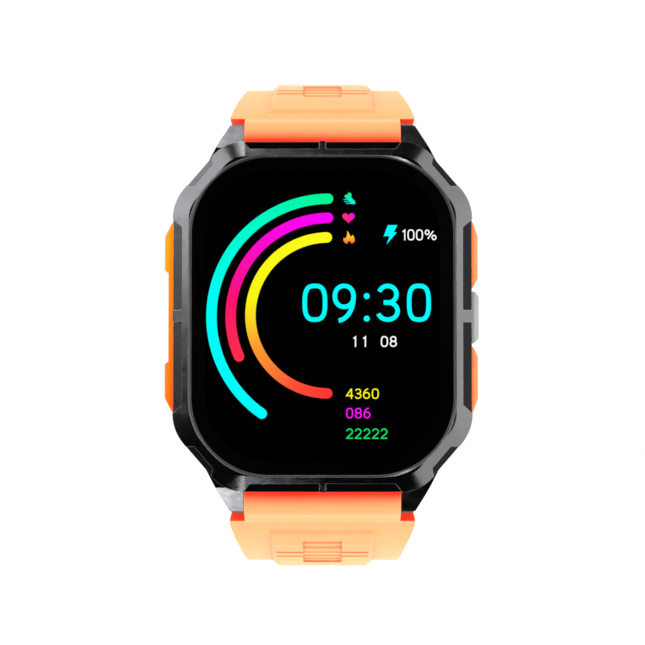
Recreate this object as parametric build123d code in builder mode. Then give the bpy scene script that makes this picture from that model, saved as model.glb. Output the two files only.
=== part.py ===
"""GPS running watch: case, display, electronics, pushers, sensor, strap and buckle.

Frame: +X = 3 o'clock side (pushers), +Z = 12 o'clock side, -Y = out of the display,
+Y = towards the wrist. The origin is the centre of the sensor window's wrist face.
Depths are counted from the outer face of the cover glass towards the wrist (mm).
On a front() sketch a positive extrusion runs out of the display, on a side() sketch to +X.
"""
from build123d import *
from math import sin, cos, radians, sqrt, pi
import os

os.makedirs("parts", exist_ok=True)

# ================================================================ DRIVING DIMENSIONS
GLASS_Y = 13.2                     # the outer glass face lies at y = -GLASS_Y
LUG_GAP = 22.2                     # between the lugs, for a 22 mm strap

# case outline: an octagon with rounded side and end corners
CASE_HX, CASE_HZ = 20.8, 24.4      # half outline of the bezel
SIDE_Z = 15.9                      # corner of side and diagonal
TOP_X = 13.5                       # corner of end and diagonal
R_SIDE, R_TOP = 6.5, 6.0           # corner rounding

# rounded rectangles: width, height, corner radius
GLASS = (36.5, 44.2, 10.9)
BEZEL_RECESS = (37.2, 44.6, 10.9)  # underside recess of the bezel
CHASSIS_SEAT = (35.4, 42.8, 10.0)  # recess for the inner chassis
CAVITY = (36.6, 42.6, 8.0)
GROOVE_OUTER = (38.8, 44.8, 9.3)   # rear gasket groove
GROOVE_INNER = (37.3, 43.3, 8.5)

# depths of the case layers
BEZEL_FRONT, BEZEL_REAR = -0.25, 4.0
GLASS_T = 1.1
GLASS_SEAT_D = 1.25
POCKET_FLOOR = 2.3
CHASSIS_D = 3.3                    # front face of the inner chassis
FRAME_REAR = 10.2
COVER_REAR = 12.2

BOSS_X, BOSS_Z = 14.4, 17.4        # corner screws
BTN_Z, BTN_D = 8.85, 7.3           # outer pusher stems: |z|, depth of all stems
CAP_D0, CAP_D1 = 4.95, 9.65        # depth range of the pusher caps and the left guard
GUARD_PEG_ZS = (-9.0, 9.0)

# spring bars and strap ends
BAR_D, BAR_R = 7.5, 25.6           # spring bar axis: depth and |z|
SCOOP_R = 2.85                     # hollow in the case round the strap end
SHOULDER_R = 3.35                  # clearance of the wide strap from the bar
TONGUE_R = 2.5                     # strap end round the bar

# strap: each half starts as an arc round an axis along X
STRAP_T = 3.3
ARC_R, ARC_D = 31.0, 28.0          # outer radius, depth of the arc axis
ARC_CENTRE_Z = {1: 3.95, -1: 4.6}  # |z| of the arc axis: upper half, lower half
PAD_H = 0.85                       # raised pad above the arc
TAIL_D = 74.6                      # outer face of the long tail
TAIL_T = 2.6
TAIL_ARC_D = 40.0                  # depth of the second arc's axis
TAIL_TIP_Z = 32.0

SIGNS = (1, -1)
QUADRANTS = [(sign_x, sign_z) for sign_x in SIGNS for sign_z in SIGNS]
ENDS = (("upper", 1), ("lower", -1))     # 12 o'clock end, 6 o'clock end
BOSSES = [(sign_x * BOSS_X, sign_z * BOSS_Z) for sign_x, sign_z in QUADRANTS]


# ================================================================ HELPERS
def y_at(depth):
    return depth - GLASS_Y


def front(depth):
    """Plane facing out of the display at a given depth: local x = +X, local y = +Z."""
    return Plane(origin=(0, y_at(depth), 0), x_dir=(1, 0, 0), z_dir=(0, -1, 0))


def side(x):
    """Plane facing +X at a given x: local x = +Y, local y = +Z."""
    return Plane(origin=(x, 0, 0), x_dir=(0, 1, 0), z_dir=(1, 0, 0))


def mirrored(points, sign_x, sign_z=1):
    return [(sign_x * first, sign_z * second) for first, second in points]


def depth_z(points, sign_z=1):
    """(depth, |z|) points as local points of a side() sketch."""
    return [(y_at(depth), sign_z * z) for depth, z in points]


def x_depth(points):
    """(x, depth) points as local points of an XY sketch."""
    return [(x, y_at(depth)) for x, depth in points]


def resized(rectangle, margin):
    """Rounded rectangle (width, height, radius) grown by margin on every side."""
    width, height, radius = rectangle
    return width + 2 * margin, height + 2 * margin, radius + margin


def octagon(inset):
    """Corner points of the case outline, moved in by inset on every side."""
    normal_x, normal_z = CASE_HZ - SIDE_Z, CASE_HX - TOP_X
    length = sqrt(normal_x * normal_x + normal_z * normal_z)
    normal_x, normal_z = normal_x / length, normal_z / length
    offset = normal_x * CASE_HX + normal_z * SIDE_Z - inset
    half_x, half_z = CASE_HX - inset, CASE_HZ - inset
    side_z = (offset - normal_x * half_x) / normal_z
    top_x = (offset - normal_z * half_z) / normal_x
    return [(half_x, -side_z), (half_x, side_z), (top_x, half_z), (-top_x, half_z),
            (-half_x, side_z), (-half_x, -side_z), (-top_x, -half_z), (top_x, -half_z)]


def round_case_corners(outline, reduction):
    """Round the octagon in the open sketch, with radii smaller than the bezel's by reduction."""
    fillet([v for v in outline.vertices() if abs(v.X) > 17], R_SIDE - reduction)
    fillet([v for v in outline.vertices() if abs(v.Y) > 23 and abs(v.X) > 10],
           R_TOP - reduction)


def arc_point(end, radius, angle):
    """(y, z) on a strap arc; end is 1 (upper) or -1 (lower).

    The angle in degrees counts from straight out along |z| towards the wrist side.
    """
    turn = radians(angle)
    return (y_at(ARC_D + radius * sin(turn)),
            end * (ARC_CENTRE_Z[end] + radius * cos(turn)))


def draw_arc_band(inner_r, outer_r, start, middle, stop):
    """Closed band along the upper strap arc, drawn in the open BuildLine."""
    ThreePointArc(*[arc_point(1, outer_r, angle) for angle in (start, middle, stop)])
    Line(arc_point(1, outer_r, stop), arc_point(1, inner_r, stop))
    ThreePointArc(*[arc_point(1, inner_r, angle) for angle in (stop, middle, start)])
    Line(arc_point(1, inner_r, start), arc_point(1, outer_r, start))


def save(builder, name):
    part = builder.part
    part.label = name
    export_step(part, f"parts/{name}.step")


BTN_Y = y_at(BTN_D)
BAR_Y = y_at(BAR_D)

# ================================================================ CASE
# ---------------------------------------------------------------- bezel pockets
POCKET_START = BEZEL_FRONT - 0.5   # the pocket cuts start in front of the rim
DIAG_N = (0.7587, 0.6515)          # outward direction of a diagonal edge
DIAG_T = (-0.6515, 0.7587)         # along a diagonal edge
DIAG_M = (17.15, 20.15)            # middle of a diagonal edge
# (along, outward) from the middle of the edge
DIAG_POCKET_LOCAL = [(-2.0, -0.9), (-2.6, -0.1), (-3.4, 1.0), (3.4, 1.0), (2.6, -0.1), (2.0, -0.9)]
DIAG_POCKET = [(DIAG_M[0] + DIAG_T[0] * along + DIAG_N[0] * outward,
                DIAG_M[1] + DIAG_T[1] * along + DIAG_N[1] * outward)
               for along, outward in DIAG_POCKET_LOCAL]
# (|x|, |z|)
SIDE_POCKET = [(19.46, 0.83), (22, 0.83), (22, 14.57), (20.8, 13.5), (19.46, 12.3)]
END_POCKET = [(0.45, 23.2), (0.45, 26), (12.3, 26), (11.05, 24.4), (10.1, 23.2)]
# material kept below the sloping pocket floors: (outward, depth)
SIDE_FLOOR = [(19.0, 1.35), (22.2, 3.2), (22.2, 5), (19.0, 5)]
DIAG_FLOOR = [(-1.2, 1.05), (2.5, 3.15), (2.5, 6), (-1.2, 6)]

# cutter for the long sides and diagonals, its floor parallel to the sloping rim
with BuildPart() as side_pockets:
    with BuildSketch(front(POCKET_START)):
        for sign_x, sign_z in QUADRANTS:
            for outline in (DIAG_POCKET, SIDE_POCKET):
                with BuildLine():
                    Polyline(*mirrored(outline, sign_x, sign_z), close=True)
                make_face()
    extrude(amount=POCKET_START - 3.0)
    with BuildSketch(Plane.XY.offset(-15)):
        for sign_x in SIGNS:
            with BuildLine():
                Polyline(*mirrored(x_depth(SIDE_FLOOR), sign_x), close=True)
            make_face()
    extrude(amount=30, mode=Mode.SUBTRACT)
    for sign_x, sign_z in QUADRANTS:
        diagonal_plane = Plane(origin=(sign_x * DIAG_M[0], 0, sign_z * DIAG_M[1]),
                               x_dir=(sign_x * DIAG_N[0], 0, sign_z * DIAG_N[1]),
                               z_dir=(sign_z * DIAG_T[0], 0, sign_x * DIAG_T[1]))
        with BuildSketch(diagonal_plane):
            with BuildLine():
                Polyline(*x_depth(DIAG_FLOOR), close=True)
            make_face()
        extrude(amount=5, both=True, mode=Mode.SUBTRACT)

# ---------------------------------------------------------------- top bezel
BEZEL_OPENING = (33.4, 41.0, 9.3)
SEAT_CLEARANCE = 0.08              # round the glass
LIP_MARGIN = 0.35                  # bevelled lip round the glass

with BuildPart() as top_bezel:
    with BuildSketch(front(BEZEL_REAR)) as bezel_outline:
        with BuildLine():
            Polyline(*octagon(0), close=True)
        make_face()
        round_case_corners(bezel_outline, 0)
    extrude(amount=BEZEL_REAR - BEZEL_FRONT)
    rim_face = top_bezel.faces().sort_by(Axis.Y)[0]
    chamfer(rim_face.edges(), length=2.3, length2=1.3, reference=rim_face)
    # glass seat, ledge opening and underside recess
    with BuildSketch(front(BEZEL_FRONT - 0.1)):
        RectangleRounded(*resized(GLASS, SEAT_CLEARANCE))
    extrude(amount=BEZEL_FRONT - 0.1 - GLASS_SEAT_D, mode=Mode.SUBTRACT)
    with BuildSketch(front(GLASS_SEAT_D)):
        RectangleRounded(*BEZEL_OPENING)
    extrude(amount=-1.0, mode=Mode.SUBTRACT)
    with BuildSketch(front(2.2)):
        RectangleRounded(*BEZEL_RECESS)
    extrude(amount=-2.0, mode=Mode.SUBTRACT)
    # thin lip round the glass
    with BuildSketch(front(BEZEL_FRONT)):
        RectangleRounded(*resized(GLASS, LIP_MARGIN))
    extrude(amount=-0.26, taper=45, mode=Mode.SUBTRACT)
    # two flat pockets along each end, then the sloping ones
    with BuildSketch(front(POCKET_START)):
        for sign_x, sign_z in QUADRANTS:
            with BuildLine():
                Polyline(*mirrored(END_POCKET, sign_x, sign_z), close=True)
            make_face()
    extrude(amount=POCKET_START - POCKET_FLOOR, mode=Mode.SUBTRACT)
    add(side_pockets.part, mode=Mode.SUBTRACT)
save(top_bezel, "top_bezel")

# ---------------------------------------------------------------- cover glass and gasket
with BuildPart() as cover_glass:
    with BuildSketch(front(GLASS_T)):
        RectangleRounded(*GLASS)
    extrude(amount=GLASS_T)
    chamfer(cover_glass.faces().sort_by(Axis.Y)[0].edges(), length=0.3)
save(cover_glass, "cover_glass")

with BuildPart() as glass_gasket:
    with BuildSketch(front(GLASS_SEAT_D)):
        RectangleRounded(36.2, 43.9, 10.8)
        RectangleRounded(34.0, 41.6, 9.7, mode=Mode.SUBTRACT)
    extrude(amount=0.13)
save(glass_gasket, "glass_gasket")

# ---------------------------------------------------------------- display panel and flex
with BuildPart() as display_panel:
    with BuildSketch(front(2.1)):
        RectangleRounded(33.0, 40.6, 9.2)
    extrude(amount=0.97)
save(display_panel, "display_panel")

# the flex folds from behind the panel over the lower edge to the main board
FLEX_W = 9.0
FLEX_PROFILE = [                   # (depth, z)
    (2.12, -17.0), (2.12, -20.42), (4.62, -20.42), (4.62, -17.0),
    (4.5, -17.0), (4.5, -20.3), (2.24, -20.3), (2.24, -17.0),
]
with BuildPart() as display_flex:
    with BuildSketch(side(-FLEX_W / 2)):
        with BuildLine():
            Polyline(*depth_z(FLEX_PROFILE), close=True)
        make_face()
    extrude(amount=FLEX_W)
save(display_flex, "display_flex")

# ---------------------------------------------------------------- mid frame with lugs
FRAME_INSET = 0.3
LUG_W = 5.8
LUG_PROFILE = [                    # (depth, |z|)
    (4.8, 20.0), (4.8, 23.9), (7.0, 27.3), (7.5, 27.6), (9.0, 27.5),
    (10.2, 26.9), (10.55, 25.9), (10.2, 24.3), (10.2, 20.0),
]
LUG_PLAN_CUT = [                   # (|x|, |z|), trims the lugs' outer corners
    (17.1, 19.9), (15.45, 23.1), (14.6, 24.7), (13.15, 27.2), (12.6, 27.52),
    (10.5, 27.62), (10.5, 29), (18, 29), (18, 19.9),
]
BOSS_R = 2.1
BOSS_WEB = [                       # (|x|, |z|), joins a boss to the case corner
    (BOSS_X - 1.1, BOSS_Z + 1.5), (BOSS_X + 1.5, BOSS_Z - 1.1),
    (BOSS_X + 3.2, BOSS_Z + 0.6), (BOSS_X + 0.6, BOSS_Z + 3.2),
]
BOSS_HOLE_R = 0.52
CAP_RECESSES = ((4.0, 13.7), (-3.8, 3.8), (-13.7, -4.0))   # z ranges
CAP_RECESS_MARGIN = 0.2            # beyond the caps in depth
OPENING_D, OPENING_R = 7.6, 0.35   # sound openings and microphone hole
SPEAKER_X, MICROPHONE_X = -7.2, 7.0

with BuildPart() as mid_frame:
    with BuildSketch(front(FRAME_REAR)) as frame_outline:
        with BuildLine():
            Polyline(*octagon(FRAME_INSET), close=True)
        make_face()
        round_case_corners(frame_outline, FRAME_INSET)
    extrude(amount=FRAME_REAR - BEZEL_REAR)
    chamfer(mid_frame.faces().sort_by(Axis.Y)[-1].edges(), length=0.5)
    # locating lip inside the bezel
    with BuildSketch(front(BEZEL_REAR)):
        RectangleRounded(*resized(BEZEL_RECESS, -0.1))
    extrude(amount=0.8)
    # lugs
    for sign_x, sign_z in QUADRANTS:
        with BuildSketch(side(sign_x * LUG_GAP / 2)):
            with BuildLine():
                Polyline(*depth_z(LUG_PROFILE, sign_z), close=True)
            make_face()
        extrude(amount=sign_x * LUG_W)
    for sign_x, sign_z in QUADRANTS:
        with BuildSketch(front(4.2)):
            with BuildLine():
                Polyline(*mirrored(LUG_PLAN_CUT, sign_x, sign_z), close=True)
            make_face()
        extrude(amount=-7.0, mode=Mode.SUBTRACT)
    # inside: cavity, ledge opening, chassis seat
    with BuildSketch(front(4.6)):
        RectangleRounded(*CAVITY)
    extrude(amount=-6.5, mode=Mode.SUBTRACT)
    with BuildSketch(front(BEZEL_REAR)):
        RectangleRounded(34.6, 41.2, 8.8)
    extrude(amount=-1.0, mode=Mode.SUBTRACT)
    with BuildSketch(front(3.0)):
        RectangleRounded(*CHASSIS_SEAT)
    extrude(amount=-1.0, mode=Mode.SUBTRACT)
    # corner bosses, drilled from the rear and the front
    with BuildSketch(front(FRAME_REAR)):
        for sign_x, sign_z in QUADRANTS:
            with Locations((sign_x * BOSS_X, sign_z * BOSS_Z)):
                Circle(BOSS_R)
            with BuildLine():
                Polyline(*mirrored(BOSS_WEB, sign_x, sign_z), close=True)
            make_face()
    extrude(amount=FRAME_REAR - BEZEL_REAR)
    with BuildSketch(front(FRAME_REAR)):
        with Locations(*BOSSES):
            Circle(BOSS_HOLE_R)
    extrude(amount=3.2, mode=Mode.SUBTRACT)
    with BuildSketch(front(BEZEL_REAR)):
        with Locations(*BOSSES):
            Circle(BOSS_HOLE_R)
    extrude(amount=-2.4, mode=Mode.SUBTRACT)
    # scoops for the strap ends, lug holes
    for sign_z in SIGNS:
        with BuildSketch(side(-LUG_GAP / 2)):
            with Locations((BAR_Y, sign_z * BAR_R)):
                Circle(SCOOP_R)
        extrude(amount=LUG_GAP, mode=Mode.SUBTRACT)
        with BuildSketch(side(-12.5)):
            with Locations((BAR_Y, sign_z * BAR_R)):
                Circle(0.45)
        extrude(amount=25.0, mode=Mode.SUBTRACT)
    # pusher recesses and stem holes on the 3 o'clock side
    for low_z, high_z in CAP_RECESSES:
        with BuildSketch(front(CAP_D0 - CAP_RECESS_MARGIN)):
            with Locations((20.55, (low_z + high_z) / 2)):
                Rectangle(2.0, high_z - low_z)
        extrude(amount=-(CAP_D1 - CAP_D0 + 2 * CAP_RECESS_MARGIN), mode=Mode.SUBTRACT)
    for z in (-BTN_Z, 0, BTN_Z):
        with BuildSketch(side(17.5)):
            with Locations((BTN_Y, z)):
                Circle(1.05)
        extrude(amount=4.0, mode=Mode.SUBTRACT)
    # seat and peg holes of the left guard
    with BuildSketch(front(CAP_D0)):
        with Locations((-21.1, 0)):
            Rectangle(2.0, 27.2)
    extrude(amount=-(CAP_D1 - CAP_D0), mode=Mode.SUBTRACT)
    for z in GUARD_PEG_ZS:
        with BuildSketch(side(-20.5)):
            with Locations((BTN_Y, z)):
                Circle(0.82)
        extrude(amount=1.7, mode=Mode.SUBTRACT)
    # sound openings between the lower lugs, microphone hole between the upper lugs
    with BuildSketch(Plane.XY.offset(-23.5)):
        with GridLocations(1.5, 1.0, 5, 1):
            with Locations((SPEAKER_X, y_at(OPENING_D))):
                Circle(OPENING_R)
    extrude(amount=3.0, mode=Mode.SUBTRACT)
    with BuildSketch(Plane.XY.offset(20.5)):
        with Locations((MICROPHONE_X, y_at(OPENING_D))):
            Circle(OPENING_R)
    extrude(amount=3.0, mode=Mode.SUBTRACT)
save(mid_frame, "mid_frame")

# ---------------------------------------------------------------- left guard (9 o'clock side)
GUARD_PLAN = [                     # (x, z)
    (-20.1, -13.55), (-20.95, -13.55), (-22.2, -11.3), (-22.2, -6.6), (-21.65, -6.2),
    (-21.65, 6.2), (-22.2, 6.6), (-22.2, 11.3), (-20.95, 13.55), (-20.1, 13.55),
]
GUARD_BEVELS = (                   # (x, depth), cut off the display and wrist edges
    [(-21.45, 4.9), (-21.85, 5.1), (-22.3, 5.9), (-23, 5.9), (-23, 4.9)],
    [(-20.9, 9.7), (-21.7, 9.35), (-22.3, 8.4), (-23, 8.4), (-23, 9.7)],
)
with BuildPart() as left_guard:
    with BuildSketch(front(CAP_D1)):
        with BuildLine():
            Polyline(*GUARD_PLAN, close=True)
        make_face()
    extrude(amount=CAP_D1 - CAP_D0)
    with BuildSketch(Plane.XY.offset(-15)):
        for bevel in GUARD_BEVELS:
            with BuildLine():
                Polyline(*x_depth(bevel), close=True)
            make_face()
    extrude(amount=30, mode=Mode.SUBTRACT)
    # pegs into the mid frame
    for z in GUARD_PEG_ZS:
        with BuildSketch(side(-20.3)):
            with Locations((BTN_Y, z)):
                Circle(0.8)
        extrude(amount=1.4)
save(left_guard, "left_guard")

# ---------------------------------------------------------------- pushers
CENTRE_CAP = [                     # (x, z)
    (20.25, -3.6), (21.35, -3.6), (22.0, -2.95), (22.0, 2.95), (21.35, 3.6), (20.25, 3.6),
]
OUTER_CAP = [                      # (x, |z|)
    (20.25, 4.2), (21.15, 4.2), (21.85, 5.5), (21.85, 11.4), (21.05, 13.5), (20.25, 13.5),
]
PUSHERS = (                        # name, stem z, cap plan
    ("upper", BTN_Z, OUTER_CAP),
    ("centre", 0.0, CENTRE_CAP),
    ("lower", -BTN_Z, mirrored(OUTER_CAP, 1, -1)),
)
CAP_BEVELS = (                     # (x, depth), cut off the display and wrist edges
    [(21.2, 4.9), (21.6, 5.1), (22.1, 5.9), (23, 5.9), (23, 4.9)],
    [(20.9, 9.7), (21.5, 9.4), (22.1, 8.5), (23, 8.5), (23, 9.7)],
)
STEM_R = 1.0
SEAL_GROOVE_X, SEAL_GROOVE_W, SEAL_GROOVE_R = 18.75, 0.6, 0.72
CLIP_GROOVE_X, CLIP_GROOVE_W, CLIP_GROOVE_R = 17.85, 0.36, 0.68


def build_pusher(name, stem_z, cap_plan):
    """Cap and stem in one piece."""
    with BuildPart() as pusher:
        with BuildSketch(front(CAP_D1)):
            with BuildLine():
                Polyline(*cap_plan, close=True)
            make_face()
        extrude(amount=CAP_D1 - CAP_D0)
        with BuildSketch(Plane.XY.offset(-15)):
            for bevel in CAP_BEVELS:
                with BuildLine():
                    Polyline(*x_depth(bevel), close=True)
                make_face()
        extrude(amount=30, mode=Mode.SUBTRACT)
        # spring pocket round the stem
        with BuildSketch(side(20.0)):
            with Locations((BTN_Y, stem_z)):
                Circle(1.85)
        extrude(amount=0.9, mode=Mode.SUBTRACT)
        # stem with seal groove and clip groove
        with BuildSketch(side(16.6)):
            with Locations((BTN_Y, stem_z)):
                Circle(STEM_R)
        extrude(amount=4.4)
        for groove_x, groove_w, groove_r in (
                (SEAL_GROOVE_X, SEAL_GROOVE_W, SEAL_GROOVE_R),
                (CLIP_GROOVE_X, CLIP_GROOVE_W, CLIP_GROOVE_R)):
            with BuildSketch(side(groove_x)):
                with Locations((BTN_Y, stem_z)):
                    Circle(STEM_R + 0.2)
                    Circle(groove_r, mode=Mode.SUBTRACT)
            extrude(amount=groove_w, mode=Mode.SUBTRACT)
    save(pusher, f"{name}_button")


def build_stem_seal(name, stem_z):
    with BuildPart() as stem_seal:
        with BuildSketch(side(SEAL_GROOVE_X + 0.03)):
            with Locations((BTN_Y, stem_z)):
                Circle(1.03)
                Circle(SEAL_GROOVE_R + 0.01, mode=Mode.SUBTRACT)
        extrude(amount=SEAL_GROOVE_W - 0.06)
    save(stem_seal, f"{name}_button_seal")


def build_stem_clip(name, stem_z):
    """Ring open towards +Z."""
    with BuildPart() as stem_clip:
        with BuildSketch(side(CLIP_GROOVE_X + 0.02)):
            with Locations((BTN_Y, stem_z)):
                Circle(1.7)
                Circle(CLIP_GROOVE_R + 0.02, mode=Mode.SUBTRACT)
            with Locations((BTN_Y, stem_z + 1.3)):
                Rectangle(1.1, 2.6, mode=Mode.SUBTRACT)
        extrude(amount=0.3)
    save(stem_clip, f"{name}_button_clip")


def build_return_spring(name, stem_z):
    with BuildPart() as return_spring:
        with BuildLine() as coil:
            Helix(pitch=0.42, height=1.08, radius=1.42, center=(19.72, BTN_Y, stem_z),
                  direction=(1, 0, 0))
        with BuildSketch(Plane(origin=coil.line @ 0, z_dir=coil.line % 0)):
            Circle(0.13)
        sweep(is_frenet=True)
    save(return_spring, f"{name}_button_spring")


for pusher_name, pusher_z, pusher_plan in PUSHERS:
    build_pusher(pusher_name, pusher_z, pusher_plan)
    build_stem_seal(pusher_name, pusher_z)
    build_stem_clip(pusher_name, pusher_z)
    build_return_spring(pusher_name, pusher_z)

# ================================================================ ELECTRONICS
# ---------------------------------------------------------------- inner chassis and its screws
with BuildPart() as inner_chassis:
    with BuildSketch(front(BEZEL_REAR)):
        RectangleRounded(*resized(CHASSIS_SEAT, -0.1))
        with Locations(*BOSSES):
            Circle(0.62, mode=Mode.SUBTRACT)
        # notch for the display flex, two slots
        with Locations((0, -20.6)):
            Rectangle(10.0, 2.6, mode=Mode.SUBTRACT)
        with Locations((0, 6)):
            SlotOverall(12, 4, mode=Mode.SUBTRACT)
        with Locations((0, -7)):
            SlotOverall(16, 3, mode=Mode.SUBTRACT)
    extrude(amount=BEZEL_REAR - CHASSIS_D)
save(inner_chassis, "inner_chassis")

SCREW_R = 0.5                      # shank of chassis and rear screws
CHASSIS_HEAD_H = 0.6
with BuildPart() as chassis_screws:
    with BuildSketch(front(CHASSIS_D)):
        with Locations(*BOSSES):
            Circle(0.95)
    extrude(amount=CHASSIS_HEAD_H)
    with BuildSketch(front(CHASSIS_D)):
        with Locations(*BOSSES):
            Circle(SCREW_R)
    extrude(amount=-2.8)
    # driver slots
    with BuildSketch(front(CHASSIS_D - CHASSIS_HEAD_H)):
        with Locations(*BOSSES):
            Rectangle(1.5, 0.3)
    extrude(amount=-0.3, mode=Mode.SUBTRACT)
save(chassis_screws, "chassis_screws")

# ---------------------------------------------------------------- main board, chips, shield
BOARD_FRONT, BOARD_T = 4.7, 0.6
BOARD_PLAN = [                     # (x, z)
    (17, -10.5), (17, 10.5), (9, 19.5), (-9, 19.5),
    (-17, 10.5), (-17, -10.5), (-9, -19.5), (9, -19.5),
]
CHIPS = (                          # x, z, width, height
    (-5.5, 2.0, 5.6, 5.6), (-5.0, -3.6, 4.0, 3.0), (0.4, 2.4, 3.0, 4.0),
    (11.5, 5.0, 3.0, 3.0), (11.5, -4.0, 2.4, 4.0), (3.0, -12.0, 4.0, 2.4),
)
SHIELD_X, SHIELD_W, SHIELD_H, SHIELD_WALL = -2.9, 13.6, 12.4, 0.2

with BuildPart() as main_board:
    with BuildSketch(front(BOARD_FRONT + BOARD_T)):
        with BuildLine():
            Polyline(*BOARD_PLAN, close=True)
        make_face()
    extrude(amount=BOARD_T)
save(main_board, "main_board")

with BuildPart() as board_chips:
    with BuildSketch(front(BOARD_FRONT)):
        for x, z, chip_w, chip_h in CHIPS:
            with Locations((x, z)):
                Rectangle(chip_w, chip_h)
    extrude(amount=0.42)
save(board_chips, "board_chips")

with BuildPart() as board_shield:
    with BuildSketch(front(BOARD_FRONT)):
        with Locations((SHIELD_X, 0)):
            RectangleRounded(SHIELD_W, SHIELD_H, 0.6)
    extrude(amount=0.62)
    with BuildSketch(front(BOARD_FRONT)):
        with Locations((SHIELD_X, 0)):
            Rectangle(SHIELD_W - 2 * SHIELD_WALL, SHIELD_H - 2 * SHIELD_WALL)
    extrude(amount=0.47, mode=Mode.SUBTRACT)
save(board_shield, "board_shield")

# ---------------------------------------------------------------- GPS antenna, battery, pad
BATTERY_X = -1.5
with BuildPart() as gps_antenna:
    with BuildSketch(front(7.6)):
        with Locations((-2.0, 16.6)):
            RectangleRounded(13, 5.4, 0.4)
    extrude(amount=2.2)
    chamfer(gps_antenna.faces().sort_by(Axis.Y)[-1].edges(), length=0.3)
save(gps_antenna, "gps_antenna")

with BuildPart() as battery:
    with BuildSketch(front(9.4)):
        with Locations((BATTERY_X, 0)):
            RectangleRounded(24, 25, 1.6)
    extrude(amount=3.5)
    fillet(battery.faces().sort_by(Axis.Y)[-1].edges(), radius=0.5)
save(battery, "battery")

with BuildPart() as battery_pad:
    with BuildSketch(front(5.85)):
        with Locations((BATTERY_X, 0)):
            RectangleRounded(20, 21, 1.0)
    extrude(amount=0.5)
save(battery_pad, "battery_pad")

# ---------------------------------------------------------------- speaker, mesh, microphone
SPEAKER_Z, SPEAKER_H = -17.6, 6.0
with BuildPart() as speaker:
    with BuildSketch(front(9.5)):
        with Locations((SPEAKER_X, SPEAKER_Z)):
            RectangleRounded(8.6, SPEAKER_H, 0.8)
    extrude(amount=3.4)
    # sound outlet in the face towards the lower lugs
    with BuildSketch(Plane.XY.offset(SPEAKER_Z - SPEAKER_H / 2)):
        with Locations((SPEAKER_X, y_at(7.8))):
            RectangleRounded(7.4, 2.4, 0.6)
    extrude(amount=0.5, mode=Mode.SUBTRACT)
save(speaker, "speaker")

with BuildPart() as speaker_mesh:
    with BuildSketch(Plane.XY.offset(-21.2)):
        with Locations((SPEAKER_X, y_at(OPENING_D))):
            RectangleRounded(8.0, 2.6, 0.6)
    extrude(amount=0.2)
save(speaker_mesh, "speaker_mesh")

with BuildPart() as microphone:
    with BuildSketch(front(8.6)):
        with Locations((MICROPHONE_X, 20.2)):
            Rectangle(3.2, 1.2)
    extrude(amount=2.0)
save(microphone, "microphone")

# ---------------------------------------------------------------- vibration motor
MOTOR_AXIS = (y_at(7.7), -17.2)    # (y, z), the axis runs along X
MOTOR_X0, MOTOR_X1 = -0.6, 6.0     # ends of the can
MOTOR_SHAFT_R = 0.4

with BuildPart() as vibration_motor:
    with BuildSketch(side(MOTOR_X0)):
        with Locations(MOTOR_AXIS):
            Circle(2.0)
    extrude(amount=MOTOR_X1 - MOTOR_X0)
    with BuildSketch(side(MOTOR_X1)):
        with Locations(MOTOR_AXIS):
            Circle(MOTOR_SHAFT_R + 0.05)
    extrude(amount=-4.0, mode=Mode.SUBTRACT)
save(vibration_motor, "vibration_motor")

with BuildPart() as motor_shaft:
    with BuildSketch(side(2.2)):
        with Locations(MOTOR_AXIS):
            Circle(MOTOR_SHAFT_R)
    extrude(amount=7.0)
save(motor_shaft, "motor_shaft")

with BuildPart() as eccentric_weight:
    with BuildSketch(side(6.4)):
        with Locations(MOTOR_AXIS):
            Circle(1.9)
            # flat on the +Z side
            with Locations((0, 1.55)):
                Rectangle(4.2, 1.5, mode=Mode.SUBTRACT)
            Circle(MOTOR_SHAFT_R, mode=Mode.SUBTRACT)
    extrude(amount=2.6)
save(eccentric_weight, "eccentric_weight")

# ---------------------------------------------------------------- side switches
SWITCH_X, SWITCH_T = 14.5, 1.2
with BuildPart() as side_switches:
    with BuildSketch(side(SWITCH_X)):
        for z in (-BTN_Z, 0, BTN_Z):
            with Locations((BTN_Y, z)):
                Rectangle(2.8, 3.6)
    extrude(amount=SWITCH_T)
    with BuildSketch(side(SWITCH_X + SWITCH_T)):
        for z in (-BTN_Z, 0, BTN_Z):
            with Locations((BTN_Y, z)):
                Circle(0.7)
    extrude(amount=0.26)
save(side_switches, "side_switches")

# ================================================================ REAR OF THE CASE
WINDOW_R = 8.5
CONTACT_Z, CONTACT_PITCH, CONTACT_R = -15.0, 2.54, 0.75
CONTACTS = [((k - 1.5) * CONTACT_PITCH, CONTACT_Z) for k in range(4)]
MAGNETS = [(-7.2, CONTACT_Z), (7.2, CONTACT_Z)]
GROOVE_CLEARANCE = 0.05

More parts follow.
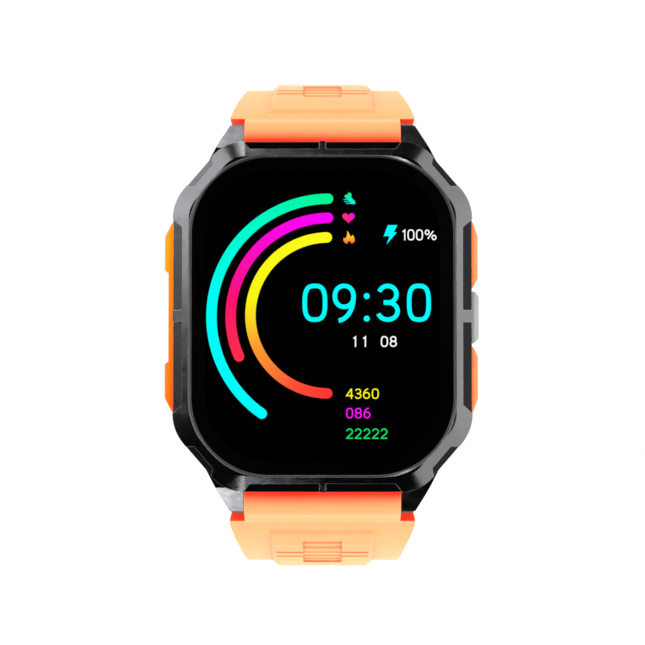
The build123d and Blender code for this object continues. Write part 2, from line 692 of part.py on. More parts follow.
# ---------------------------------------------------------------- rear cover with sensor bump
with BuildPart() as rear_cover:
    with BuildSketch(front(COVER_REAR)) as cover_outline:
        with BuildLine():
            Polyline(*octagon(0.55), close=True)
        make_face()
        round_case_corners(cover_outline, 0.5)
    extrude(amount=COVER_REAR - FRAME_REAR)
    rear_rim = rear_cover.faces().sort_by(Axis.Y)[-1]
    chamfer(rear_rim.edges(), length=1.6, length2=1.2, reference=rear_rim)
    # raised ring round the sensor window, its seat and the opening under it
    with BuildSketch(front(COVER_REAR)):
        Circle(11.0)
    extrude(amount=-0.8, taper=50)
    with BuildSketch(front(13.3)):
        Circle(WINDOW_R + 0.06)
    extrude(amount=2.1, mode=Mode.SUBTRACT)
    with BuildSketch(front(13.3)):
        Circle(7.2)
    extrude(amount=4.0, mode=Mode.SUBTRACT)
    # gasket groove
    with BuildSketch(front(FRAME_REAR)):
        RectangleRounded(*GROOVE_OUTER)
        RectangleRounded(*GROOVE_INNER, mode=Mode.SUBTRACT)
    extrude(amount=-0.55, mode=Mode.SUBTRACT)
    # screw seats and holes
    with BuildSketch(front(COVER_REAR)):
        with Locations(*BOSSES):
            Circle(1.5)
    extrude(amount=0.95, mode=Mode.SUBTRACT)
    with BuildSketch(front(COVER_REAR)):
        with Locations(*BOSSES):
            Circle(0.65)
    extrude(amount=2.5, mode=Mode.SUBTRACT)
    # charge contact holes and blind magnet pockets
    with BuildSketch(front(COVER_REAR)):
        with Locations(*CONTACTS):
            Circle(CONTACT_R + 0.01)
    extrude(amount=2.5, mode=Mode.SUBTRACT)
    with BuildSketch(front(FRAME_REAR)):
        with Locations(*MAGNETS):
            Circle(1.55)
    extrude(amount=-1.3, mode=Mode.SUBTRACT)
    # shallow recess round the contacts
    with BuildSketch(front(COVER_REAR)):
        with Locations((0, CONTACT_Z)):
            SlotOverall(11.6, 3.2)
    extrude(amount=0.25, mode=Mode.SUBTRACT)
save(rear_cover, "rear_cover")

with BuildPart() as rear_gasket:
    with BuildSketch(front(FRAME_REAR)):
        RectangleRounded(*resized(GROOVE_OUTER, -GROOVE_CLEARANCE))
        RectangleRounded(*resized(GROOVE_INNER, GROOVE_CLEARANCE), mode=Mode.SUBTRACT)
    extrude(amount=-0.53)
save(rear_gasket, "rear_gasket")

REAR_HEAD_D = 12.1                 # wrist face of the screw heads
with BuildPart() as rear_screws:
    with BuildSketch(front(REAR_HEAD_D)):
        with Locations(*BOSSES):
            Circle(1.4)
    extrude(amount=0.85)
    # hexagon sockets
    with BuildSketch(front(REAR_HEAD_D)):
        with Locations(*BOSSES):
            RegularPolygon(0.62, 6)
    extrude(amount=0.5, mode=Mode.SUBTRACT)
    with BuildSketch(front(11.3)):
        with Locations(*BOSSES):
            Circle(SCREW_R)
    extrude(amount=4.0)
save(rear_screws, "rear_screws")

# ---------------------------------------------------------------- optical sensor
LED_RING_R, LED_COUNT = 4.6, 6

with BuildPart() as sensor_window:
    with BuildSketch(front(GLASS_Y)):
        Circle(WINDOW_R)
    extrude(amount=1.98)
    chamfer(sensor_window.faces().sort_by(Axis.Y)[-1].edges(), length=0.55)
save(sensor_window, "sensor_window")

with BuildPart() as sensor_light_shield:
    with BuildSketch(front(11.2)):
        Circle(7.1)
        Circle(1.5, mode=Mode.SUBTRACT)
        with PolarLocations(LED_RING_R, LED_COUNT):
            Rectangle(2.2, 2.4, mode=Mode.SUBTRACT)
    extrude(amount=0.35)
save(sensor_light_shield, "sensor_light_shield")

with BuildPart() as sensor_leds:
    with BuildSketch(front(10.8)):
        with Locations((0, 0)):
            Rectangle(1.6, 1.2)
        with PolarLocations(LED_RING_R, LED_COUNT):
            Rectangle(1.8, 2.0)
    extrude(amount=0.7)
save(sensor_leds, "sensor_leds")

with BuildPart() as sensor_board:
    with BuildSketch(front(10.1)):
        Circle(7.0)
    extrude(amount=0.5)
save(sensor_board, "sensor_board")

# ---------------------------------------------------------------- charge contacts and magnets
with BuildPart() as charge_contacts:
    with BuildSketch(front(12.05)):
        with Locations(*CONTACTS):
            Circle(CONTACT_R)
    extrude(amount=2.4)
save(charge_contacts, "charge_contacts")

with BuildPart() as charge_magnets:
    with BuildSketch(front(11.48)):
        with Locations(*MAGNETS):
            Circle(1.5)
    extrude(amount=1.2)
save(charge_magnets, "charge_magnets")

# ================================================================ STRAP
STRAP_INNER_R = ARC_R - STRAP_T
STRAP_START = -42.0                # angle where the band starts, inside the case end
TAIL_OUTER_R = TAIL_D - TAIL_ARC_D
TAIL_INNER_R = TAIL_OUTER_R - TAIL_T
TAIL_ARC_Z = ARC_CENTRE_Z[-1] + ARC_R - TAIL_OUTER_R       # |z| of the tail arc's axis
PIN_Y, PIN_Z = arc_point(1, ARC_R - STRAP_T / 2, 88)       # buckle pin axis

# plan half widths: (depth, half width)
STRAP_WIDTHS = [(2, 13.15), (9.3, 13.15), (13.5, 12.3), (20, 11.65), (28, 11.33),
                (59, 10.3), (80, 10.0)]
PAD_WIDTHS = [(5, 7.45), (11, 7.45), (28, 7.15), (60, 6.6)]

# raised pad: (angle, height above the strap arc), and the angles of its facet corners
PAD_HEIGHTS = [(-35, -0.1), (-33, 0.28), (-22.8, 0.7), (-15.7, PAD_H), (-5, PAD_H),
               (14, PAD_H), (22, 0.3), (24, -0.1)]
PAD_ANGLES = [-35, -33, -28, -22.9, -19.2, -15.7, -10, -4, 2, 8, 14, 18, 22, 24]
# cross-section cut off the pad's flanks: (|x|, height above the strap arc)
FLANK_SECTION = [(7.5, 0), (6.1, 1.1), (9.5, 1.1), (9.5, 0)]
PAD_GROOVES = (-23.3, -20.6)       # angles
# shallow window in the pad, by end: start angle, rib angles
PAD_WINDOWS = {
    1: (-25.4, (-23.6, -21.0, -18.4, -15.8)),
    -1: (-29.8, (-27.6, -24.9, -22.2, -19.5, -16.8)),
}
WINDOW_STOP = -14.5
WINDOW_W = 5.6

# space of the case end, kept free of the band: (depth, |z|)
CASE_END_CUT = [(1, 20), (1, 30), (7.6, 30), (8.0, 28.2), (BAR_D, BAR_R), (10.6, 25.0), (11.5, 20)]
# cutter boundary round the tail tip: (x, z)
TIP_CUT = [(-16, 10), (16, 10), (16, TAIL_TIP_Z - 9.5)] + [
    (x, TAIL_TIP_Z - back) for x, back in (
        (10.4, 9.5), (9.2, 4.6), (6.2, 1.4), (2.5, 0),
        (-2.5, 0), (-6.2, 1.4), (-9.2, 4.6), (-10.4, 9.5), (-16, 9.5))]

KNOB_SLOT_X = 6.55                 # middle of the spring bar's knob slot
HOLE_PITCH, HOLE_L, HOLE_W = 6.0, 3.0, 2.0


def width_cut(stations, outer_x, sign_x):
    """Closed (x, y) outline of the material beyond the plan width on one side."""
    points = [(half_width, y_at(depth)) for depth, half_width in stations]
    points += [(outer_x, points[-1][1]), (outer_x, points[0][1])]
    return mirrored(points, sign_x)


def pad_radius(angle):
    """Radius of the pad's top, interpolated between the stations of PAD_HEIGHTS."""
    for (angle0, height0), (angle1, height1) in zip(PAD_HEIGHTS, PAD_HEIGHTS[1:]):
        if angle0 <= angle <= angle1:
            return ARC_R + height0 + (height1 - height0) * (angle - angle0) / (angle1 - angle0)


def pad_point(end, radius, angle):
    """Like arc_point, but the long half runs straight after its widest point."""
    if end < 0 and angle > 0:
        return (y_at(ARC_D + ARC_R * radians(angle) * 0.8),
                end * (ARC_CENTRE_Z[end] + radius))
    return arc_point(end, radius, angle)


def build_flank_cutters(end):
    """Slanted flanks: a cone round the arc, running straight on along the long half."""
    centre_z = ARC_CENTRE_Z[end]
    section = [(x, end * (centre_z + ARC_R + height)) for x, height in FLANK_SECTION]
    with BuildPart() as cone:
        with BuildSketch(front(ARC_D)):
            for sign_x in SIGNS:
                with BuildLine():
                    Polyline(*mirrored(section, sign_x), close=True)
                make_face()
        revolve(axis=Axis((0, y_at(ARC_D), end * centre_z), (1, 0, 0)))
        if end < 0:
            # the long half keeps only the display side of the cone
            with BuildSketch(front(ARC_D)):
                Rectangle(40, 120)
            extrude(amount=-60, mode=Mode.SUBTRACT)
    if end > 0:
        return [cone.part]
    with BuildPart() as straight:
        with BuildSketch(front(ARC_D)):
            for sign_x in SIGNS:
                with BuildLine():
                    Polyline(*mirrored(section, sign_x), close=True)
                make_face()
        extrude(amount=-16)
    return [straight.part, cone.part]


def build_pad(end):
    """Raised centre pad: facets in side view, tapering in plan, bevelled flanks."""
    cutters = build_flank_cutters(end)
    with BuildPart() as pad:
        with BuildSketch(side(-8)):
            with BuildLine():
                Polyline(*[pad_point(end, pad_radius(a), a) for a in PAD_ANGLES],
                         *[pad_point(end, ARC_R - 0.8, a) for a in reversed(PAD_ANGLES)],
                         close=True)
            make_face()
        extrude(amount=16)
        for sign_x in SIGNS:
            with BuildSketch(Plane.XY.offset(-50)):
                with BuildLine():
                    Polyline(*width_cut(PAD_WIDTHS, 9.0, sign_x), close=True)
                make_face()
            extrude(amount=100, mode=Mode.SUBTRACT)
        for cutter in cutters:
            add(cutter, mode=Mode.SUBTRACT)
    return pad.part


def draw_long_band():
    """Side profile of the lower half: arc, straight, tail arc and flat tail."""
    half = sin(radians(45))
    tail_y = y_at(TAIL_D)
    tail_inner_y = y_at(TAIL_D - TAIL_T)
    bend_z = -TAIL_ARC_Z

    def tail_arc_point(radius, along_y, along_z):
        return y_at(TAIL_ARC_D + radius * along_y), -(TAIL_ARC_Z + radius * along_z)

    ThreePointArc(*[arc_point(-1, ARC_R, angle) for angle in (STRAP_START, -20, 0)])
    Line(arc_point(-1, ARC_R, 0), tail_arc_point(TAIL_OUTER_R, 0, 1))
    ThreePointArc(tail_arc_point(TAIL_OUTER_R, 0, 1),
                  tail_arc_point(TAIL_OUTER_R, half, half), (tail_y, bend_z))
    Line((tail_y, bend_z), (tail_y, TAIL_TIP_Z))
    Line((tail_y, TAIL_TIP_Z), (tail_inner_y, TAIL_TIP_Z))
    Line((tail_inner_y, TAIL_TIP_Z), (tail_inner_y, bend_z))
    ThreePointArc((tail_inner_y, bend_z), tail_arc_point(TAIL_INNER_R, half, half),
                  tail_arc_point(TAIL_INNER_R, 0, 1))
    Line(tail_arc_point(TAIL_INNER_R, 0, 1), arc_point(-1, STRAP_INNER_R, 0))
    ThreePointArc(*[arc_point(-1, STRAP_INNER_R, angle) for angle in (0, -20, STRAP_START)])
    Line(arc_point(-1, STRAP_INNER_R, STRAP_START), arc_point(-1, ARC_R, STRAP_START))


def build_strap(name, end):
    pad = build_pad(end)
    bar_axis = (BAR_Y, end * BAR_R)
    with BuildPart() as strap:
        # band in side profile
        with BuildSketch(side(0)):
            with BuildLine():
                if end > 0:
                    draw_arc_band(STRAP_INNER_R, ARC_R, STRAP_START, 20, 84.0)
                else:
                    draw_long_band()
            make_face()
        extrude(amount=13.4, both=True)
        # plan width
        for sign_x in SIGNS:
            with BuildSketch(Plane.XY.offset(-50)):
                with BuildLine():
                    Polyline(*width_cut(STRAP_WIDTHS, 16.0, sign_x), close=True)
                make_face()
            extrude(amount=100, mode=Mode.SUBTRACT)
        if end < 0:
            # rounded tail tip
            with BuildSketch(front(TAIL_D - 2 + 4 - 4)) if False else BuildSketch(
                    Plane(origin=(0, y_at(TAIL_D) + 2, 0), x_dir=(1, 0, 0), z_dir=(0, -1, 0))):
                with Locations((0, TAIL_TIP_Z - 5)):
                    Rectangle(30, 20)
                with BuildLine():
                    Polyline(*TIP_CUT, close=True)
                make_face(mode=Mode.SUBTRACT)
            extrude(amount=8, mode=Mode.SUBTRACT)
        # soften the long edges
        long_edges = [e for e in strap.edges() if e.length > 6 and abs(e.center().X) > 9]
        chamfer(long_edges, length=0.4)
        # clear the lugs, then the case end
        for start_x in (-14.0, 11.0):
            with BuildSketch(side(start_x)):
                with Locations(bar_axis):
                    Circle(SHOULDER_R)
            extrude(amount=3.0, mode=Mode.SUBTRACT)
        with BuildSketch(side(-14.0)):
            with BuildLine():
                Polyline(*depth_z(CASE_END_CUT, end), close=True)
            make_face()
        extrude(amount=28, mode=Mode.SUBTRACT)
        # tongue round the spring bar
        with BuildSketch(side(-11.0)):
            with Locations(bar_axis):
                Circle(TONGUE_R)
            with BuildLine():
                Polyline((y_at(5.6), end * 27.2),
                         arc_point(end, ARC_R - 0.05, -37.5),
                         arc_point(end, ARC_R - 0.05, -35.0),
                         arc_point(end, STRAP_INNER_R + 0.05, -35.0),
                         (y_at(9.95), end * 25.3), bar_axis, close=True)
            make_face()
        extrude(amount=22.0)
        add(pad)
        # two cross grooves in the pad
        for angle in PAD_GROOVES:
            with BuildSketch(side(-8)):
                with Locations(arc_point(end, pad_radius(angle) + 0.05, angle)):
                    Circle(0.28)
            extrude(amount=16, mode=Mode.SUBTRACT)
        # shallow window with ribs in the pad
        window_start, rib_angles = PAD_WINDOWS[end]
        floor_angles = (WINDOW_STOP, -19.0, -22.8, window_start)
        with BuildSketch(side(-WINDOW_W / 2)):
            with BuildLine():
                Polyline(arc_point(end, ARC_R + 3, window_start),
                         arc_point(end, ARC_R + 3, WINDOW_STOP),
                         *[arc_point(end, pad_radius(a) - 0.28, a) for a in floor_angles],
                         close=True)
            make_face()
        extrude(amount=WINDOW_W, mode=Mode.SUBTRACT)
        for angle in rib_angles:
            with BuildSketch(side(-WINDOW_W / 2 - 0.1)):
                with Locations(arc_point(end, pad_radius(angle) - 0.52, angle)):
                    Circle(0.4)
            extrude(amount=WINDOW_W + 0.2)
        # bore for the spring bar and slot for its release knob
        with BuildSketch(side(-12)):
            with Locations(bar_axis):
                Circle(0.76)
        extrude(amount=24, mode=Mode.SUBTRACT)
        with BuildSketch(Plane.XY.offset(end * BAR_R)):
            with Locations((KNOB_SLOT_X, BAR_Y + 2)):
                Rectangle(3.1, 4.0)
        extrude(amount=0.65, both=True, mode=Mode.SUBTRACT)
        if end > 0:
            # rounded end round the buckle pin, pin bore and slot for the tongue
            with BuildSketch(side(-10.2)):
                with Locations((PIN_Y, PIN_Z)):
                    Circle(STRAP_T / 2 + 0.2)
                with BuildLine():
                    Polyline((PIN_Y, PIN_Z),
                             arc_point(end, ARC_R + 0.1, 86.5),
                             arc_point(end, ARC_R - 0.1, 82),
                             arc_point(end, STRAP_INNER_R + 0.1, 82),
                             arc_point(end, STRAP_INNER_R - 0.1, 86.5), close=True)
                make_face()
            extrude(amount=20.4)
            with BuildSketch(side(-12)):
                with Locations((PIN_Y, PIN_Z)):
                    Circle(0.8)
            extrude(amount=24, mode=Mode.SUBTRACT)
            with BuildSketch(front(50)):
                with Locations((0, PIN_Z + 1.2)):
                    RectangleRounded(2.6, 9.0, 1.2)
            extrude(amount=-14, mode=Mode.SUBTRACT)
        else:
            # adjusting holes, first along the flat tail, then round its arc
            for k in range(5):
                with BuildSketch(front(TAIL_D + 1)):
                    with Locations((0, -3.0 + HOLE_PITCH * k)):
                        SlotOverall(HOLE_L, HOLE_W)
                extrude(amount=5, mode=Mode.SUBTRACT)
            for k in range(1, 5):
                turn = pi / 2 - (1.85 + HOLE_PITCH * k) / TAIL_OUTER_R
                hole_y = y_at(TAIL_ARC_D + (TAIL_OUTER_R + 1) * sin(turn))
                hole_z = end * (TAIL_ARC_Z + (TAIL_OUTER_R + 1) * cos(turn))
                with BuildSketch(Plane(origin=(0, hole_y, hole_z), x_dir=(1, 0, 0),
                                       z_dir=(0, sin(turn), end * cos(turn)))):
                    SlotOverall(HOLE_L, HOLE_W)
                extrude(amount=-5, mode=Mode.SUBTRACT)
    save(strap, f"strap_{name}")


for end_name, end_sign in ENDS:
    build_strap(end_name, end_sign)

# ---------------------------------------------------------------- spring bars
BAR_END_R = 0.4                    # ends that enter the lug holes
KNOB_X = 7.35


def build_bar_tube(name, end):
    """Tube with a fixed end at -X, bored from +X and slotted for the knob."""
    bar_axis = (BAR_Y, end * BAR_R)
    with BuildPart() as bar_tube:
        with BuildSketch(side(-10.5)):
            with Locations(bar_axis):
                Circle(0.75)
        extrude(amount=21.0)
        with BuildSketch(side(-3.0)):
            with Locations(bar_axis):
                Circle(0.5)
        extrude(amount=14, mode=Mode.SUBTRACT)
        with BuildSketch(side(-12.2)):
            with Locations(bar_axis):
                Circle(BAR_END_R)
        extrude(amount=2.0)
        with BuildSketch(Plane.XY.offset(end * BAR_R)):
            with Locations((KNOB_SLOT_X, BAR_Y + 0.75)):
                Rectangle(2.7, 1.5)
        extrude(amount=0.45, both=True, mode=Mode.SUBTRACT)
    save(bar_tube, f"{name}_bar_tube")


def build_bar_pin(name, end):
    """Sliding pin with its release knob on the wrist side."""
    bar_axis = (BAR_Y, end * BAR_R)
    with BuildPart() as bar_pin:
        with BuildSketch(side(4.6)):
            with Locations(bar_axis):
                Circle(0.42)
        extrude(amount=5.8)
        with BuildSketch(side(10.4)):
            with Locations(bar_axis):
                Circle(BAR_END_R)
        extrude(amount=1.8)
        with BuildSketch(front(BAR_D)):
            with Locations((KNOB_X, end * BAR_R)):
                Circle(0.38)
        extrude(amount=-3.0)
        with BuildSketch(front(BAR_D + 2.6)):
            with Locations((KNOB_X, end * BAR_R)):
                Circle(0.5)
        extrude(amount=-0.4)
    save(bar_pin, f"{name}_bar_pin")


def build_bar_spring(name, end):
    with BuildPart() as bar_spring:
        with BuildLine() as coil:
            Helix(pitch=0.62, height=7.0, radius=0.36, center=(-2.75, BAR_Y, end * BAR_R),
                  direction=(1, 0, 0))
        with BuildSketch(Plane(origin=coil.line @ 0, z_dir=coil.line % 0)):
            Circle(0.1)
        sweep(is_frenet=True)
    save(bar_spring, f"{name}_bar_spring")


for end_name, end_sign in ENDS:
    build_bar_tube(end_name, end_sign)
    build_bar_pin(end_name, end_sign)
    build_bar_spring(end_name, end_sign)

# ---------------------------------------------------------------- buckle
BUCKLE_HALF_T = 1.2
BUCKLE_PIN_R = 0.75
PIN_L = 25.8
TONGUE_W = 2.0
TONGUE_PROFILE = [                 # (y, z) from the pin axis
    (0, 0), (1.5, 0.1), (2.3, -4.0), (2.15, -13.2), (0.95, -13.2), (0.95, -4.0), (0.3, -1.4),
]

with BuildPart() as buckle_frame:
    with BuildSketch(Plane(origin=(0, PIN_Y + BUCKLE_HALF_T, 0), x_dir=(1, 0, 0),
                           z_dir=(0, -1, 0))):
        with Locations((0, PIN_Z - 5.7)):
            RectangleRounded(26.2, 15.6, 2.6)
        with Locations((0, PIN_Z - 3.6)):
            Rectangle(21.4, 13.2, mode=Mode.SUBTRACT)
    extrude(amount=2 * BUCKLE_HALF_T)
    # round the edges of both broad faces, except at the +Z ends
    fillet([e for e in buckle_frame.edges()
            if abs(abs(e.center().Y - PIN_Y) - BUCKLE_HALF_T) < 0.01
            and e.center().Z < PIN_Z + 1.9], 0.55)
    with BuildSketch(side(-14)):
        with Locations((PIN_Y, PIN_Z)):
            Circle(BUCKLE_PIN_R)
    extrude(amount=28, mode=Mode.SUBTRACT)
    # rest for the tongue
    with BuildSketch(side(-1.15)):
        with Locations((PIN_Y + 1.35, PIN_Z - 11.7)):
            Rectangle(0.9, 6)
    extrude(amount=2.3, mode=Mode.SUBTRACT)
save(buckle_frame, "buckle_frame")

with BuildPart() as buckle_pin:
    with BuildSketch(side(-PIN_L / 2)):
        with Locations((PIN_Y, PIN_Z)):
            Circle(BUCKLE_PIN_R)
    extrude(amount=PIN_L)
save(buckle_pin, "buckle_pin")

with BuildPart() as buckle_tongue:
    with BuildSketch(side(-TONGUE_W / 2)):
        with Locations((PIN_Y, PIN_Z)):
            Circle(1.5)
        with BuildLine():
            Polyline(*[(PIN_Y + y, PIN_Z + z) for y, z in TONGUE_PROFILE], close=True)
        make_face()
        with Locations((PIN_Y, PIN_Z)):
            Circle(0.8, mode=Mode.SUBTRACT)
    extrude(amount=TONGUE_W)
    fillet(buckle_tongue.edges().filter_by(Axis.Y).sort_by(Axis.Z)[:2], 0.7)
save(buckle_tongue, "buckle_tongue")

# ---------------------------------------------------------------- keepers
KEEPERS = (                        # name, start angle, stop angle, gap under the strap
    ("fixed_keeper", 66.0, 73.0, 0.02),
    ("sliding_keeper", 47.0, 54.0, 0.3),
)
KEEPER_W, KEEPER_OPENING_W = 25.0, 22.3
KEEPER_OUTER_R = ARC_R + 3.0       # outer wall of the opening

for keeper_name, start, stop, gap in KEEPERS:
    middle = (start + stop) / 2
    keeper_inner_r = STRAP_INNER_R - gap
    with BuildPart() as keeper:
        with BuildSketch(side(-KEEPER_W / 2)):
            with BuildLine():
                draw_arc_band(keeper_inner_r - 1.2, KEEPER_OUTER_R + 1.3, start, middle, stop)
            make_face()
        extrude(amount=KEEPER_W)
        fillet([e for e in keeper.edges().filter_by(GeomType.CIRCLE)
                if abs(e.center().X) > 12.4], 1.1)
        with BuildSketch(side(-KEEPER_OPENING_W / 2)):
            with BuildLine():
                draw_arc_band(keeper_inner_r, KEEPER_OUTER_R, start - 3, middle, stop + 3)
            make_face()
        extrude(amount=KEEPER_OPENING_W, mode=Mode.SUBTRACT)
    save(keeper, keeper_name)
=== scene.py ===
"""Sports watch on a silicone strap: materials, lit dial graphics, studio and camera.

The watch faces -Y, with X to the wearer-side right as seen from the camera, Z up, and Y
growing from the glass towards the rear cover. Scene units are metres; sizes marked MM, and all
dial sizes, are millimetres.
"""
import bpy
import bmesh
import math
from functools import reduce
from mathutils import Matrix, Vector

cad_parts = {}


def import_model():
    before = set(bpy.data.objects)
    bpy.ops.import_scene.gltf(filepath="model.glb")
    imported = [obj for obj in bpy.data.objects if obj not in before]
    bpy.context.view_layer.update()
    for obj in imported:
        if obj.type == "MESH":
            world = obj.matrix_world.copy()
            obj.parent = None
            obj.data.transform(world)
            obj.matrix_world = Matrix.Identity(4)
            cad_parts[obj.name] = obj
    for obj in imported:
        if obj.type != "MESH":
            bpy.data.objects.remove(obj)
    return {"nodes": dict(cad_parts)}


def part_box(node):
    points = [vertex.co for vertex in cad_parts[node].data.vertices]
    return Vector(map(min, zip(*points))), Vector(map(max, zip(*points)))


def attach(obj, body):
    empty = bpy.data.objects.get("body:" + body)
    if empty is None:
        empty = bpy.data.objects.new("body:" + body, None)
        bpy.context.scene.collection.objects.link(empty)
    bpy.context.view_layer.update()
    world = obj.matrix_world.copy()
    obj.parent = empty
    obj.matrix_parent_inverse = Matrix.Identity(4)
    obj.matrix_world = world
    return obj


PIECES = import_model()["nodes"]
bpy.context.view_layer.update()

MM = 0.001
GLASS_Y = -13.2                 # outer face of the glass, mm
DIAL_Y = GLASS_Y + 1.112        # front of the lit layers, mm
DIAL_THICKNESS = 0.012          # mm


# ------------------------------------------------------------------ node building
def srgb(*colour):
    """0-255 sRGB triple to linear RGBA."""
    def linear(value):
        value = value / 255.0
        return value / 12.92 if value <= 0.04045 else ((value + 0.055) / 1.055) ** 2.4
    return (*map(linear, colour), 1.0)


def shade(colour, factor, lift=0):
    """Scale a 0-255 colour and lift it by a constant."""
    return tuple(min(255, int(value * factor + lift)) for value in colour)


class Graph:
    """Adds nodes to a tree. Inputs take a socket or a value; colours are 0-255 sRGB triples."""

    def __init__(self, tree):
        self.nodes = tree.nodes
        self.links = tree.links

    def feed(self, socket, value):
        if isinstance(value, bpy.types.NodeSocket):
            self.links.new(value, socket)
        else:
            socket.default_value = srgb(*value) if socket.type == "RGBA" else value

    def node(self, kind, inputs, **settings):
        node = self.nodes.new("ShaderNode" + kind)
        for key, value in settings.items():
            setattr(node, key, value)
        for key, value in inputs.items():
            self.feed(node.inputs[key], value)
        return node

    def axes(self, vector):
        return self.node("SeparateXYZ", {0: vector}).outputs

    def math(self, operation, first, second, use_clamp=False):
        node = self.node("Math", {0: first, 1: second}, operation=operation, use_clamp=use_clamp)
        return node.outputs["Value"]

    def add(self, first, second):
        return self.math("ADD", first, second)

    def subtract(self, first, second):
        return self.math("SUBTRACT", first, second)

    def multiply(self, *factors):
        return reduce(lambda first, second: self.math("MULTIPLY", first, second), factors)

    def absolute(self, value):
        return self.math("ABSOLUTE", value, 0.0)

    def remap(self, value, span, to, **settings):
        """Clamped map of the range span onto the range to."""
        inputs = {"Value": value, "From Min": span[0], "From Max": span[1],
                  "To Min": to[0], "To Max": to[1]}
        return self.node("MapRange", inputs, **settings).outputs["Result"]

    def rise(self, value, start, end):
        """0 to 1 between two lengths in mm."""
        return self.remap(value, (start * MM, end * MM), to=(0.0, 1.0))

    def fall(self, value, start, end):
        """1 to 0 between two lengths in mm."""
        return self.remap(value, (start * MM, end * MM), to=(1.0, 0.0))


class Material(Graph):
    """One Principled material, textured in object coordinates."""

    def __init__(self, name):
        self.material = bpy.data.materials.new(name)
        self.material.use_nodes = True
        super().__init__(self.material.node_tree)
        self.shader = self.nodes["Principled BSDF"]
        self.place = self.nodes.new("ShaderNodeTexCoord").outputs["Object"]

    def set(self, **inputs):
        """Feed shader inputs; underscores stand for spaces."""
        for key, value in inputs.items():
            self.feed(self.shader.inputs[key.replace("_", " ")], value)

    def mapped(self, **inputs):
        return self.node("Mapping", {"Vector": self.place, **inputs}).outputs["Vector"]

    def noise(self, scale, detail=3.0, roughness=0.55, stretch=None, distortion=0.0):
        inputs = {"Scale": scale, "Detail": detail, "Roughness": roughness,
                  "Distortion": distortion,
                  "Vector": self.mapped(Scale=stretch) if stretch else self.place}
        return self.node("TexNoise", inputs).outputs["Fac"]

    def mottle(self, scale, to, band=(0.3, 0.7), **noise):
        """Noise whose middle band is spread over the range to."""
        return self.remap(self.noise(scale, **noise), band, to)

    def ramp(self, value, stops):
        """stops = [(position, colour)]"""
        node = self.node("ValToRGB", {"Fac": value})
        elements = node.color_ramp.elements
        while len(elements) < len(stops):
            elements.new(0.5)
        for element, (position, colour) in zip(elements, stops):
            element.position = position
            element.color = srgb(*colour)
        return node.outputs["Color"]

    def mix(self, factor, first, second, blend_type="MIX"):
        node = self.node("Mix", {}, data_type="RGBA", blend_type=blend_type)
        for key, value in (("Factor", factor), (6, first), (7, second)):
            self.feed(node.inputs[key], value)
        return node.outputs[2]

    def bevelled(self, radius, samples):
        return self.node("Bevel", {"Radius": radius * MM}, samples=samples).outputs["Normal"]

    def edge(self, radius, gain):
        """1 on sharp edges, 0 on flats: bevelled normal (radius in mm) against plain normal."""
        plain = self.node("NewGeometry", {}).outputs["Normal"]
        inputs = {0: self.bevelled(radius, samples=6), 1: plain}
        dot = self.node("VectorMath", inputs, operation="DOT_PRODUCT").outputs["Value"]
        return self.math("MULTIPLY", self.subtract(1.0, dot), gain, use_clamp=True)

    def relief(self, bevel, *bumps):
        """Chained bumps (height, strength, depth in mm) on a normal bevelled by bevel mm."""
        normal = self.bevelled(bevel, samples=4) if bevel else None
        for height, strength, depth in bumps:
            inputs = {"Height": height, "Strength": strength, "Distance": depth * MM}
            if normal is not None:
                inputs["Normal"] = normal
            normal = self.node("Bump", inputs).outputs["Normal"]
        self.set(Normal=normal)


# ------------------------------------------------------------------ materials
def silicone(name):
    """Soft-touch orange silicone with painted light: red-orange painted shade in creases, pale
    on open faces, paler still towards the silhouette as painted sheen, paler edges as painted
    highlight, and a painted glow in the creases.
    """
    mat = Material(name)
    # painted shade: ambient occlusion turns the creases red-orange and leaves open faces pale
    occlusion = mat.node("AmbientOcclusion", {"Distance": 3.4 * MM}, samples=8).outputs["AO"]
    openness = mat.remap(occlusion, (0.5, 1.0), to=(0.0, 1.0))
    colour = mat.mix(openness, (255, 36, 8), (242, 141, 87))
    # painted sheen: paler towards the silhouette
    facing = mat.node("LayerWeight", {"Blend": 0.42}).outputs["Facing"]
    silhouette_sheen = mat.multiply(mat.remap(facing, (0.3, 0.95), to=(0.0, 0.7)), openness)
    colour = mat.mix(silhouette_sheen, colour, (248, 190, 140))
    colour = mat.mix(mat.mottle(scale=180, to=(0.0, 0.12)), colour, (250, 161, 104))
    # painted highlight: sharp edges go paler
    edge = mat.edge(radius=0.35, gain=3.0)
    colour = mat.mix(mat.multiply(edge, 0.3), colour, (255, 206, 150))
    mat.set(
        Base_Color=colour, Roughness=mat.mottle(scale=900, to=(0.5, 0.64)),
        Specular_IOR_Level=0.25,
        Sheen_Weight=0.12, Sheen_Roughness=0.45, Sheen_Tint=(255, 222, 180),
        Subsurface_Weight=0.15, Subsurface_Scale=0.0012, Subsurface_Radius=(1.0, 0.4, 0.15),
        # painted glow: the creases emit light in their own colour to stay bright and saturated
        Emission_Color=colour,
        Emission_Strength=mat.remap(openness, (0.0, 1.0), to=(0.42, 0.03)))
    mat.relief(0.2, (mat.noise(scale=5200, detail=2), 0.10, 0.02),
               (mat.noise(scale=260), 0.06, 0.1))
    return mat.material


# Recesses in the bezel, mm. Both follow faces that slope back with distance from the centre.
SIDE_PLANE_Y = -13.45           # depth of the side slope where it starts
SIDE_START_X = 18.5
SIDE_SLOPE = 0.565
DIAGONAL_CENTRE = (17.15, 20.15)      # x, z of the recess in each corner
DIAGONAL_AXIS = (0.7587, 0.6515)      # unit direction outwards from the centre, x and z
DIAGONAL_PLANE_Y = GLASS_Y + 1.05
DIAGONAL_START = 1.2            # the diagonal slope starts this far inside its centre
DIAGONAL_SLOPE = 0.5676


